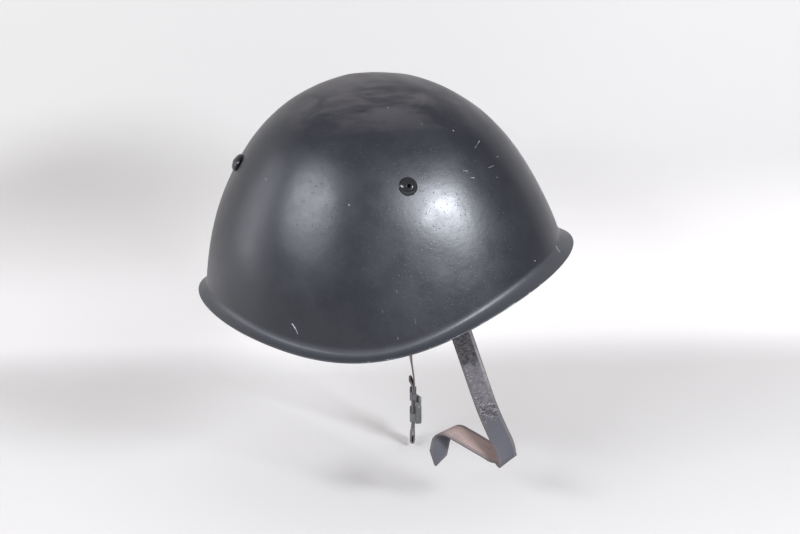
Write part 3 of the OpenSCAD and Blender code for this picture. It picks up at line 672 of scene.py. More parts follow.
def lay_leather(links: Links, given: bpy.types.NodeOutputs) -> dict[str, Socket]:
    """Grain of leather: fine pores, less the lines between cells, less cracks across the run.

    The map's first number runs along the leather and its second across it.

    Args:
        links: of the group.
        given: its inputs.

    Returns:
        Its outputs by name.
    """
    spot = given["Vector"]
    cells = links.node("ShaderNodeTexVoronoi", {"Vector": spot, "Scale": 900.0}, feature="DISTANCE_TO_EDGE")
    crease = links.band(cells.outputs[0], 0.0, 0.09, 1.0, 0.0)
    wander = links.noise(links.scaled(spot, (1.0, 0.22, 1.0)), 420.0, 4.0, 0.6, 0.8)
    crack = links.band(links.ridge(wander), 0.0, 0.04, 1.0, 0.0)
    crack = links.times(crack, links.band(links.noise(spot, 160.0, 2.0), 0.42, 0.58))
    pores = links.noise(spot, 2600.0, 2.0)
    height = links.added(links.times(pores, 0.35), crease, -0.5)
    return {"Height": links.added(height, crack, -1.2), "Crease": crease}


def lay_wear(links: Links, given: bpy.types.NodeOutputs) -> dict[str, Socket]:
    """Patches of wear: broad noise broken by fine noise, more of it as Amount rises.

    Args:
        links: of the group.
        given: its inputs.

    Returns:
        Its outputs by name.
    """
    broad = links.noise(given["Vector"], given["Scale"], 4.0, 0.62)
    fine = links.noise(given["Vector"], links.times(given["Scale"], 9.0), 3.0, 0.7)
    both = links.added(links.times(broad, 0.65), fine, 0.35)
    return {"Mask": links.band(links.math("ADD", both, given["Amount"]), 0.56, 0.66)}


def lay_fibre(links: Links, given: bpy.types.NodeOutputs) -> dict[str, Socket]:
    """Short matted fibres: the higher of a noise drawn out one way and one drawn out the other.

    Args:
        links: of the group.
        given: its inputs.

    Returns:
        Its outputs by name.
    """
    first, second = (links.noise(links.scaled(given["Vector"], ways), given["Scale"], 3.0, 0.7, 1.5)
                     for ways in ((1.0, 0.2, 1.0), (0.2, 1.0, 1.0)))
    return {"Height": links.math("MAXIMUM", first, second)}


class Workshop:
    """The shader groups that the finishes share."""

    def __init__(self) -> None:
        """Builds every group once."""
        spot = {"Vector": None}
        self.stroke = group("scratch", {**spot, "From": None, "To": None, "Width": 0.001}, lay_stroke)
        self.grain = group("paint_grain", {**spot, "Waves": 1.0, "Fine": 0.3, "Pits": 0.5}, lay_grain)
        self.leather = group("leather_grain", spot, lay_leather)
        self.wear = group("wear", {**spot, "Scale": 60.0, "Amount": 0.0}, lay_wear)
        self.fibre = group("fibres", {**spot, "Scale": 900.0}, lay_fibre)


class Bench(Links):
    """Nodes of one material, with its shader and the shared groups."""

    def __init__(self, material: bpy.types.Material, shop: Workshop) -> None:
        """Takes up a material."""
        super().__init__(material.node_tree)
        self.shop = shop
        self.shader = self.tree.nodes["Principled BSDF"]

    def feed(self, name: str, value: Socket) -> None:
        """Joins a value to one of the shader's inputs."""
        self.tree.links.new(value, self.shader.inputs[name])

    def use(self, tree: bpy.types.NodeTree, **inputs: Value) -> bpy.types.NodeOutputs:
        """Outputs of a shared group."""
        return self.node("ShaderNodeGroup", inputs, node_tree=tree).outputs

    def wear(self, vector: Socket, scale: float, amount: float) -> Socket:
        """Mask of worn patches."""
        return self.use(self.shop.wear, Vector=vector, Scale=scale, Amount=amount)[0]

    def bump(self, height: Socket, depth: float) -> None:
        """Feeds a height to the shader's normal, with its depth in metres."""
        self.feed("Normal", self.node("ShaderNodeBump", {"Height": height, "Strength": 1.0,
                                                         "Distance": depth}).outputs[0])

    def where(self) -> Socket:
        """Object coordinates, in metres."""
        return self.node("ShaderNodeTexCoord").outputs["Object"]

    def chart(self) -> Socket:
        """The piece's own map: metres along it, and across it."""
        return self.node("ShaderNodeUVMap", uv_map="Run").outputs[0]


@dataclass(frozen=True)
class Finish:
    """Base of every finish: its name, main colour and the shader's constants."""

    name: str
    colour: tuple
    rough: float = 0.5
    metal: float = 0.0
    specular: float = 0.5

    def make(self, shop: Workshop) -> bpy.types.Material:
        """Makes the material, lays its nodes and keeps it among the ready coats.

        Args:
            shop: the shared groups.

        Returns:
            The material.
        """
        material = bpy.data.materials.new(self.name)
        material.use_nodes = True
        bench = Bench(material, shop)
        for key, value in (("Base Color", self.colour), ("Roughness", self.rough), ("Metallic", self.metal),
                           ("Specular IOR Level", self.specular)):
            bench.shader.inputs[key].default_value = value
        self.lay(bench)
        COATS[self.name] = material
        return material

    def lay(self, bench: Bench) -> None:
        """Lays nothing: a plain finish."""


@dataclass(frozen=True)
class Stroke:
    """Scratch or chip in the paint, from one point to another, in millimetres."""

    start: tuple
    end: tuple
    width: float
    depth: float = 1.0


@dataclass(frozen=True)
class ShellPaint(Finish):
    """Worn slate paint: sprayed grain, pits, dull and polished patches, chips and scratches.

    The distances run from the crown down the shell's outer face, in millimetres.
    """

    specular: float = 0.62
    chips: tuple = ()
    worn: tuple = rgb(176, 180, 186)
    # Paler streak tone over the crown: painted light from above, over paint that is also hazier there.
    haze_and_painted_light: tuple = rgb(72, 68, 70)
    # Paler tone of the flare: painted light that its upturned face catches.
    flared: tuple = rgb(62, 63, 67)
    flare_from: float = 192.0
    edge_at: float = 224.0

    def lay(self, bench: Bench) -> None:
        """Lays cloudy paint, paler streaks of painted light from above over rougher paint on the crown, a
        flare painted paler for the light it catches, a rubbed edge, chips and specks.

        Args:
            bench: of the material.
        """
        spot = bench.where()
        axis = bench.split(spot)
        grain = bench.use(bench.shop.grain, Vector=spot, Waves=0.9, Fine=0.16, Pits=0.5)
        cloudy = bench.band(bench.noise(spot, 14.0, 4.0, 0.6), 0.35, 0.65)
        tone = bench.blend(cloudy, self.colour, lighter(self.colour, 1.18))
        # Paler streaks over the crown: painted light from above. The same mask also makes the paint rougher
        # there.
        streaks = bench.noise(bench.scaled(spot, (0.28, 1.0, 1.2)), 74.0, 5.0, 0.6, 0.4)
        crown_haze_and_light = bench.times(bench.band(axis[2], 0.138, 0.172), bench.band(streaks, 0.36, 0.66, 0.1, 0.85))
        tone = bench.blend(crown_haze_and_light, tone, self.haze_and_painted_light)
        run = bench.split(bench.chart())[0]
        outside = bench.band(run, (self.edge_at + 10) * MM, (self.edge_at + 14) * MM, 1.0, 0.0)
        flare = bench.times(outside, bench.band(run, self.flare_from * MM, (self.flare_from + 14) * MM))
        # The flare is tinted paler: painted light on its upturned face. The same mask also makes it rougher.
        tone = bench.tint(tone, self.flared, flare, 0.6)
        edge = bench.times(outside, bench.band(run, (self.edge_at - 0.5) * MM, self.edge_at * MM))
        tone = bench.tint(tone, self.worn, edge, bench.times(bench.wear(spot, 130.0, 0.03), 0.5))
        specks = bench.band(bench.noise(spot, 560.0, 1.0), 0.82, 0.86)
        chips = bench.times(specks, bench.band(bench.noise(spot, 38.0, 1.0), 0.5, 0.6, 0.0, 0.6))
        for chip in self.chips:
            found = bench.use(bench.shop.stroke, Vector=spot, From=tuple(v * MM for v in chip.start),
                              To=tuple(v * MM for v in chip.end), Width=chip.width * 0.55 * MM)
            chips = bench.math("MAXIMUM", chips, bench.times(found[0], chip.depth * 0.75))
        bench.feed("Base Color", bench.blend(chips, tone, self.worn))
        front = bench.band(axis[0], -0.03, 0.07, 0.05, 0.0)
        patch = bench.band(bench.noise(spot, 55.0, 3.0), 0.3, 0.7, -0.035, 0.035)
        rough = bench.math("ADD", bench.math("ADD", front, patch), self.rough)
        for mask, share in ((grain[1], 0.12), (crown_haze_and_light, 0.14), (flare, 0.1)):
            rough = bench.added(rough, mask, share)
        bench.feed("Roughness", rough)
        bench.bump(bench.added(grain[0], chips, -0.6), 0.00006)


@dataclass(frozen=True)
class Enamel(Finish):
    """Plain paint on small steel parts, worn through in patches."""

    bare: tuple = rgb(132, 130, 126)
    wear: float = -0.06

    def lay(self, bench: Bench) -> None:
        """Lays cloudy paint over grain, worn through to bare metal.

        Args:
            bench: of the material.
        """
        spot = bench.where()
        grain = bench.use(bench.shop.grain, Vector=spot, Waves=0.6, Fine=0.2, Pits=0.3)
        worn = bench.wear(spot, 190.0, self.wear)
        cloudy = bench.band(bench.noise(spot, 90.0), 0.3, 0.7)
        tone = bench.blend(cloudy, self.colour, lighter(self.colour, 1.3))
        bench.feed("Base Color", bench.blend(worn, tone, self.bare))
        bench.feed("Roughness", bench.added(self.rough, worn, 0.15))
        bench.bump(grain[0], 0.00003)


@dataclass(frozen=True)
class Metal(Finish):
    """Bare or plated metal with fine brushing, stains and a duller patina."""

    stain: tuple = rgb(70, 66, 58)
    brushed: float = 0.4

    def lay(self, bench: Bench) -> None:
        """Lays stains, and brushed lines across the height.

        Args:
            bench: of the material.
        """
        spot = bench.where()
        worn = bench.wear(spot, 230.0, 0.0)
        lines = bench.noise(bench.scaled(spot, (1.0, 1.0, 0.06)), 2600.0, 2.0)
        bench.feed("Base Color", bench.tint(self.colour, self.stain, worn, 0.6))
        rough = bench.added(self.rough, worn, 0.22)
        bench.feed("Roughness", bench.added(rough, lines, 0.12))
        bench.bump(bench.added(worn, lines, self.brushed), 0.000025)


@dataclass(frozen=True)
class LinerLeather(Finish):
    """Brown vegetable-tanned leather, darker where hands and hair have oiled it."""

    specular: float = 0.35
    oiled: tuple = rgb(66, 42, 28)

    def lay(self, bench: Bench) -> None:
        """Lays oiled patches and the dark lines of the grain.

        Args:
            bench: of the material.
        """
        skin = bench.use(bench.shop.leather, Vector=bench.chart())
        oil = bench.wear(bench.where(), 26.0, 0.02)
        tone = bench.tint(self.colour, self.oiled, oil, 0.5)
        bench.feed("Base Color", bench.tint(tone, self.oiled, skin[1], 0.35))
        bench.feed("Roughness", bench.added(self.rough, oil, -0.12))
        bench.bump(skin[0], 0.00012)


@dataclass(frozen=True)
class StrapGrain(Finish):
    """Grain side of the strap leather, whose wear changes along the strap.

    It goes from dark and pored to scuffed, to creased and to clean. The distances run
    from the riveted end, in millimetres.
    """

    specular: float = 0.4
    dark_to: float = 101.0
    scuffed_to: float = 132.0
    cracked_to: float = 143.5
    dark: tuple = rgb(60, 58, 61)
    scuffed: tuple = rgb(98, 95, 99)
    clean: tuple = rgb(75, 75, 81)
    pale: tuple = rgb(178, 175, 178)
    brown: tuple = rgb(92, 80, 74)
    frayed: tuple = rgb(150, 146, 146)

    def lay(self, bench: Bench) -> None:
        """Lays the four stretches one after the other, then the brown rim and the frayed edge.

        Args:
            bench: of the material.
        """
        chart = bench.chart()
        axis = bench.split(chart)
        stray = bench.band(bench.noise(chart, 150.0, 3.0), 0.25, 0.75, -0.0035, 0.0035)
        run = bench.math("ADD", axis[0], stray)
        past_dark = bench.band(run, (self.dark_to - 1) * MM, (self.dark_to + 1.5) * MM)
        past_scuff = bench.band(run, (self.scuffed_to - 8) * MM, (self.scuffed_to + 8) * MM)
        clean = bench.band(run, (self.cracked_to - 3) * MM, (self.cracked_to + 9) * MM)
        skin = bench.use(bench.shop.leather, Vector=chart)
        blotch = bench.wear(chart, 170.0, 0.03)
        scuffs = bench.wear(bench.scaled(chart, (1.0, 0.6, 1.0)), 640.0, 0.02)
        pores = bench.noise(bench.scaled(chart, (1.0, 0.34, 1.0)), 800.0, 3.0, 0.7, 0.4)
        creased = bench.noise(bench.scaled(chart, (1.0, 0.16, 1.0)), 860.0, 3.0, 0.6, 0.5)
        creases = bench.band(bench.ridge(creased), 0.008, 0.03, 1.0, 0.0)
        tone = bench.blend(bench.band(pores, 0.36, 0.64), rgb(36, 34, 36), rgb(88, 85, 89))
        tone = bench.tint(tone, self.dark, blotch, 0.4)
        tone = bench.tint(tone, rgb(28, 26, 27), skin[1], 0.3)
        middle = bench.tint(self.scuffed, self.pale, scuffs, 0.8)
        middle = bench.tint(middle, rgb(72, 68, 71), bench.band(pores, 0.5, 0.7), 0.4)
        middle = bench.tint(middle, rgb(84, 78, 79), blotch, 0.35)
        worn = bench.tint(rgb(62, 57, 60), self.scuffed, blotch, 0.5)
        worn = bench.tint(worn, self.pale, creases, 0.7)
        smooth_tone = bench.tint(self.clean, rgb(80, 79, 85), blotch, 0.3)
        for past, next_tone in ((past_dark, middle), (past_scuff, worn), (clean, smooth_tone)):
            tone = bench.blend(past, tone, next_tone)
        rim = bench.band(bench.math("ABSOLUTE", axis[1]), 0.0073, 0.0081)
        tone = bench.tint(tone, self.brown, rim, 0.4)
        fray = bench.times(bench.band(axis[1], 0.0068, 0.0079), bench.band(run, 0.104, 0.136, 1.0, 0.2))
        tone = bench.tint(tone, self.frayed, fray, bench.band(scuffs, 0.0, 1.0, 0.6, 1.0))
        bench.feed("Base Color", tone)
        bench.feed("Roughness", bench.added(self.rough, clean, -0.1))
        height = bench.times(bench.added(skin[0], blotch, 0.5), bench.added(1.0, clean, -0.8))
        bench.bump(height, 0.00022)


@dataclass(frozen=True)
class StrapFlesh(Finish):
    """Flesh side and cut edges of the strap leather: pale brown, short nap, grey soiling."""

    specular: float = 0.25
    soiled: tuple = rgb(112, 100, 98)
    lifted: tuple = rgb(172, 156, 150)
    dulled: tuple = rgb(98, 92, 92)

    def lay(self, bench: Bench) -> None:
        """Lays soiled patches, rubbed patches, the nap, and dull stretches near both edges.

        Args:
            bench: of the material.
        """
        chart = bench.chart()
        nap = bench.use(bench.shop.fibre, Vector=chart, Scale=1500.0)[0]
        tone = bench.tint(self.colour, self.soiled, bench.wear(chart, 90.0, 0.02), 0.6)
        tone = bench.tint(tone, self.lifted, bench.wear(chart, 120.0, -0.03), 0.4)
        tone = bench.blend(bench.band(nap, 0.45, 0.75, 0.0, 0.28), tone, self.lifted)
        side = bench.band(bench.math("ABSOLUTE", bench.split(chart)[1]), 0.0064, 0.008)
        bench.feed("Base Color", bench.tint(tone, self.dulled, side, 0.6))
        bench.bump(nap, 0.00012)


@dataclass(frozen=True)
class Cloth(Finish):
    """Felt or cord: matted fibres with a soft sheen."""

    specular: float = 0.15
    fibres: float = 1200.0
    lint: tuple = rgb(120, 116, 106)

    def lay(self, bench: Bench) -> None:
        """Lays the fibres, paler where they stand up.

        Args:
            bench: of the material.
        """
        bench.shader.inputs["Sheen Weight"].default_value = 0.3
        nap = bench.use(bench.shop.fibre, Vector=bench.where(), Scale=self.fibres)[0]
        bench.feed("Base Color", bench.blend(bench.band(nap, 0.4, 0.8), self.colour, self.lint))
        bench.bump(nap, 0.0002)


def finishes(chips: tuple) -> list[Finish]:
    """Every finish of the helmet.

    Args:
        chips: scratches in the shell's paint.

    Returns:
        The finishes, each with a name of its own.
    """
    return [
        ShellPaint("shell_paint", rgb(15, 18, 26), 0.32, chips=chips),
        Enamel("rivet_black", rgb(20, 21, 24), 0.16, bare=rgb(70, 70, 72), wear=-0.14),
        Metal("plain_steel", rgb(150, 148, 142), 0.42, 0.85),
        Enamel("hoop_paint", rgb(72, 76, 66), 0.55),
        Enamel("dark_wire", rgb(46, 45, 45), 0.4, wear=-0.03),
        Metal("strap_brass", rgb(150, 124, 78), 0.4, 0.9),
        Enamel("buckle_steel", rgb(90, 93, 92), 0.42, 0.2, bare=rgb(146, 150, 145), wear=-0.01),
        LinerLeather("liner_leather", rgb(128, 88, 58), 0.55),
        StrapFlesh("liner_flesh", rgb(150, 120, 92), 0.85, soiled=rgb(118, 92, 68),
                   lifted=rgb(172, 144, 116)),
        StrapFlesh("liner_edge", rgb(96, 66, 44), 0.7, soiled=rgb(74, 50, 34), lifted=rgb(122, 90, 64)),
        Cloth("felt", rgb(84, 82, 74), 0.95),
        Cloth("lace_cord", rgb(150, 136, 112), 0.85, fibres=1900.0, lint=rgb(190, 178, 152)),
        Cloth("thread", rgb(176, 160, 130), 0.8, fibres=2600.0, lint=rgb(206, 194, 168)),
        StrapGrain("strap_grain", rgb(62, 64, 69), 0.55),
        StrapFlesh("strap_flesh", rgb(145, 127, 121), 0.85, soiled=rgb(118, 104, 102)),
        StrapFlesh("strap_edge", rgb(76, 70, 70), 0.75, soiled=rgb(54, 50, 51), lifted=rgb(96, 90, 89)),
        # A lighter, greyer copy of strap_edge for the left strap. Its lightness is painted light, lifting
        # edges that hang in shade.
        StrapFlesh("strap_edge_painted_light", rgb(100, 101, 100), 0.75, soiled=rgb(66, 66, 69),
                   lifted=rgb(124, 124, 123)),
        StrapGrain("keeper_grain", rgb(84, 84, 87), 0.55, dark_to=-50.0, scuffed_to=600.0, cracked_to=700.0),
    ]


@dataclass
class Shell:
    """Pressed steel shell: a dome with two fullness powers, a wall and a flared rim."""

    front_reach: float = 151.5
    rear_reach: float = 116.5
    half_width: float = 107.0
    crown_height: float = 177.0
    crown_shift: float = 13.0
    wall_depth: float = 73.5
    wall_depth_tilt: float = 56.0
    steel: float = 1.2
    rim_tilt: float = 14.2
    rim_arch: float = 18.0
    rim_wave: float = 2.6
    flare_front: float = 11.8
    flare_rear: float = 6.6
    flare_side: float = 9.5
    flare_drop: float = 7.8
    curl_side: float = 6.0
    curl_end: float = 1.7
    side_power: float = 2.11
    plan_power: float = 2.13
    rivet_height: float = 112.0
    rivet_angle: float = 71.4
    round_steps: int = 300
    fairing: int = 4

    def rim(self, phi: Numbers) -> Numbers:
        """Height at which the flare starts: a tilt, an arch and a small third wave."""
        return (self.rim_tilt * np.cos(phi) + self.rim_arch * (1 + np.cos(2 * phi))
                + self.rim_wave * np.cos(3 * phi))

    def foot(self, phi: Numbers) -> Numbers:
        """Height at which the dome's curve would stand upright."""
        return self.rim(phi) - self.wall_depth - self.wall_depth_tilt * np.cos(phi)

    def wall(self, phi: Numbers, height: Numbers) -> Numbers:
        """Angle down the dome's curve at which a height is reached."""
        foot = self.foot(phi)
        share = (height - foot) / (self.crown_height - foot)
        return np.arccos(np.clip(share, 0, 1) ** (self.side_power / 2))

    def point(self, phi: Numbers, v: Numbers) -> np.ndarray:
        """Point of the outer face.

        The plan is an ellipse whose length differs before and behind. The dome's radius
        grows as a power of the sine of the angle down its curve, and its height falls as
        a power of the cosine. Past 1 the flare drops evenly. It first keeps the slope
        that the dome ends with, and turns out from it as a power that is higher at the
        sides, where the flange curls, than at the ends.

        Args:
            phi: angle round from the front.
            v: 0 at the crown, 1 where the flare starts, 2 at the rim's edge.

        Returns:
            Points by 3.
        """
        phi, v = paired(phi, v)
        mean = (self.front_reach + self.rear_reach) / 2
        half = (self.front_reach - self.rear_reach) / 4
        reach = mean + half * np.cos(phi) * (3 - np.cos(phi) ** 2)
        plan = 1 / np.sqrt((np.cos(phi) / reach) ** 2 + (np.sin(phi) / self.half_width) ** 2)
        full = self.wall(phi, self.rim(phi))
        u = np.minimum(v, 1) * full
        fill = (np.sin(u) / np.sin(full)) ** (2 / self.plan_power)
        foot = self.foot(phi)
        z = foot + (self.crown_height - foot) * np.cos(u) ** (2 / self.side_power)
        k = np.maximum(v - 1, 0)
        end = np.where(np.cos(phi) > 0, self.flare_front, self.flare_rear)
        ends = np.cos(phi) ** 2
        fall = (self.plan_power * np.tan(full) * np.sin(full) * (self.crown_height - foot)
                * np.cos(full) ** (2 / self.side_power - 1))
        slope = plan * self.side_power / fall
        lead = slope * self.flare_drop
        curl = k ** mix(self.curl_side, self.curl_end, ends)
        flare = lead * k + (mix(self.flare_side, end, ends) - lead) * curl
        radius = plan * fill + flare
        return np.stack([self.crown_shift * (1 - fill) + radius * np.cos(phi), radius * np.sin(phi),
                         z - self.flare_drop * k], -1)

    def normal(self, phi: Numbers, v: Numbers) -> np.ndarray:
        """Outward direction: the cross product of the ways down and round.

        Args:
            phi: angle round from the front.
            v: place down the dome, as for point().

        Returns:
            Directions by 3.
        """
        phi, v = paired(phi, v)
        down = self.point(phi, np.minimum(v + 0.02, 2)) - self.point(phi, np.maximum(v - 0.02, 1e-4))
        turn = np.radians(1)
        return unit(np.cross(down, self.point(phi + turn, v) - self.point(phi - turn, v)))

    def rivet_v(self, phi: Numbers) -> Numbers:
        """How far down the dome the rivets' level lies."""
        return self.wall(phi, self.rivet_height) / self.wall(phi, self.rim(phi))

    def rivet_stand(self, phi: float) -> Stand:
        """Stand on the outer face where a rivet goes, with its X level."""
        v = self.rivet_v(phi)
        return Stand.on(self.point(phi, v), self.normal(phi, v))

    def rivet_turns(self) -> dict[str, float]:
        """Angles of the three rivets from the front, by name."""
        side = np.radians(self.rivet_angle)
        return {"rear": np.pi, "right": -side, "left": side}

    def dents(self, points: np.ndarray) -> np.ndarray:
        """Shallow waves of a hand-beaten crown, as heights in millimetres.

        Three crossed sine waves fade in from the shoulder of the dome to its top and lie just
        under it, and there are four soft dents.

        Args:
            points: of the outer face, by 3.

        Returns:
            The heights.
        """
        x, y, z = (points[..., k] for k in range(3))
        crown = smooth(np.clip((z - 128) / 34, 0, 1))
        waves = (np.sin(x / 7.2 + y / 15 + 1.3 * np.sin(y / 11)) + np.sin(y / 6.1 - x / 19 + np.sin(x / 13))
                 + 0.7 * np.sin((x + y) / 4.6 + 2 * np.sin(x / 17)))
        soft = np.sin(x / 21 + 0.7) * np.sin(y / 27 + z / 24 + 0.4) + 0.6 * np.sin(z / 16 + x / 33)
        dent = sum(depth * np.exp(-np.sum((points - np.array(place)) ** 2, -1) / (2 * size * size))
                   for place, size, depth in (((55, -89.6, 58), 7, -0.16), ((-14.5, -82, 101), 4, -0.10),
                                              ((-28, -13, 168), 5, -0.25), ((30, -20, 173), 6, -0.18)))
        return crown * (0.15 * waves - 0.25) + 0.42 * soft * (1 - 0.6 * crown) + dent

    def faired(self, points: np.ndarray, rows: np.ndarray) -> np.ndarray:
        """Outer face with the start of its flare faired into a wide hollow.

        Each row moves again and again to the mean of itself and its two neighbours, fully
        at the start of the flare and not at all at the rim's edge or up the dome.

        Args:
            points: rows by columns by 3.
            rows: place of each row, as for point().

        Returns:
            The moved points.
        """
        weight = smooth(np.clip((rows - 0.87) / 0.06, 0, 1)) * (1 - smooth(np.clip((rows - 1.4) / 0.5, 0, 1)))
        weight = weight[1:-1, None, None]
        for _ in range(self.fairing):
            mean = (points[:-2] + 2 * points[1:-1] + points[2:]) / 4
            points = np.concatenate([points[:1], mix(points[1:-1], mean, weight), points[-1:]])
        return points

    def faces(self) -> tuple[np.ndarray, np.ndarray, np.ndarray]:
        """Outer face, inner face and outward directions, rows by columns by 3.

        Returns:
            The outer face with its waves and dents, the inner face a steel's thickness
            behind it, and the directions.
        """
        phi = full_turn(self.round_steps)
        rows = np.concatenate([np.linspace(0.012, 0.86, 60), np.linspace(0.87, 1, 22),
                               1 + np.linspace(0.06, 0.955, 12)])
        outer = self.faired(self.point(phi[None], rows[:, None]), rows)
        normal = unit(np.cross(np.gradient(outer, axis=0), np.roll(outer, -1, 1) - np.roll(outer, 1, 1)))
        lift = self.dents(outer)[..., None] * normal
        return outer + lift, outer + lift * 0.8 - self.steel * normal, normal

    def settle(self, chips: tuple) -> tuple:
        """Moves the ends of the chips onto the outer face.

        Each end drops straight onto the plane that touches the face at its nearest point.

        Args:
            chips: the strokes, in millimetres.

        Returns:
            The moved strokes.
        """
        outer, _, normal = self.faces()
        spots, ways = outer.reshape(-1, 3), normal.reshape(-1, 3)

        def drop(place: tuple) -> tuple:
            """One end, moved onto the face."""
            gap = np.array(place) - spots
            near = int(np.argmin(np.sum(gap * gap, -1)))
            return tuple((np.array(place) - (gap[near] @ ways[near]) * ways[near]).tolist())
        return tuple(Stroke(drop(c.start), drop(c.end), c.width, c.depth) for c in chips)

    def build(self) -> None:
        """Lays the outer face, the round edge and the inner face as one closed skin, and
        bores it for the three rivets."""
        outer, inner, normal = self.faces()
        half = self.steel / 2
        rim, down = outer[-1], unit(outer[-1] - outer[-2])
        turn = np.radians(np.arange(15, 180, 15))[:, None, None]
        edge = rim - normal[-1] * half + half * (np.cos(turn) * normal[-1] + np.sin(turn) * down)
        grid = np.concatenate([outer, edge, inner[::-1]])
        run = np.arange(len(grid)) * 2.4
        skin = Skin("shell_skin").grid(grid, flat_map(run, np.linspace(0, 720, self.round_steps + 1)))
        piece = skin.build(60)
        cutters = Skin("rivet_holes")
        for angle in self.rivet_turns().values():
            drill(cutters, self.rivet_stand(angle), 3.1, 8)
        bored(dress(piece, ["shell_paint"], "helmet", ["shell"]), cutters)


@dataclass
class VentRivets:
    """Three hollow domed rivets whose ends are split and bent flat over a washer inside."""

    shell: Shell
    head_d: float = 14.0
    head_h: float = 3.6
    bore_d: float = 2.6
    shank_d: float = 6.0
    split_face: float = 4.35
    split_t: float = 0.8
    split_span: float = 20.0
    split_w: float = 4.5

    def profile(self) -> np.ndarray:
        """Half section: shank, underside, rolled rim, dome and the lip turned into the bore.

        Returns:
            Points of radius and height.
        """
        seat, bore, shank, head = 0.05, self.bore_d / 2, self.shank_d / 2, self.head_d / 2
        low = -self.split_face - self.split_t
        angle = np.radians(np.linspace(12, 74, 12))
        rim = np.array([(head - 0.25, seat), (head - 0.04, seat + 0.12), (head, seat + 0.38)])
        dome = np.stack([head * np.cos(angle), seat + self.head_h * np.sin(angle)], -1)
        lip = np.array([(bore + 0.45, seat + self.head_h * 0.995), (bore + 0.16, seat + self.head_h * 0.97),
                        (bore, seat + self.head_h * 0.9)])
        return np.concatenate([[(bore, low), (shank, low), (shank, seat)], rim, dome, lip])

    def build(self) -> None:
        """Turns each rivet and lays its two bent ends."""
        for name, phi in self.shell.rivet_turns().items():
            stand = self.shell.rivet_stand(phi)
            skin = turned(Skin(f"vent_rivet_{name}_part"), stand, self.profile(), 64)
            for way in (-1, 1):
                near, far = way * (self.shank_d / 2 - 0.3), way * self.split_span / 2
                half = self.split_w / 2
                corners = [(near, -half), (far - way * 1.2, -half * 0.95), (far, -half * 0.35),
                           (far, half * 0.35), (far - way * 1.2, half * 0.95), (near, half)]
                outline = rounded(corners[::way], 0.8)
                plate(skin, stand, outline, -self.split_face - self.split_t, -self.split_face, 0.15)
            dress(skin.build(), ["rivet_black"], "helmet", [f"vent_rivet_{name}"])
        for node, coat in (("rivet_washers", "plain_steel"), ("bracket_right", "hoop_paint"),
                           ("bracket_left", "hoop_paint")):
            self.repaint(node, coat)

    @staticmethod
    def repaint(node: str, coat: str) -> None:
        """Gives a carried-over CAD node its own finish.

        Args:
            node: its name.
            coat: name of the finish.
        """
        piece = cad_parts[node]
        piece.data.materials.clear()
        piece.data.materials.append(COATS[coat])
        log.info("%s: carried over", node)


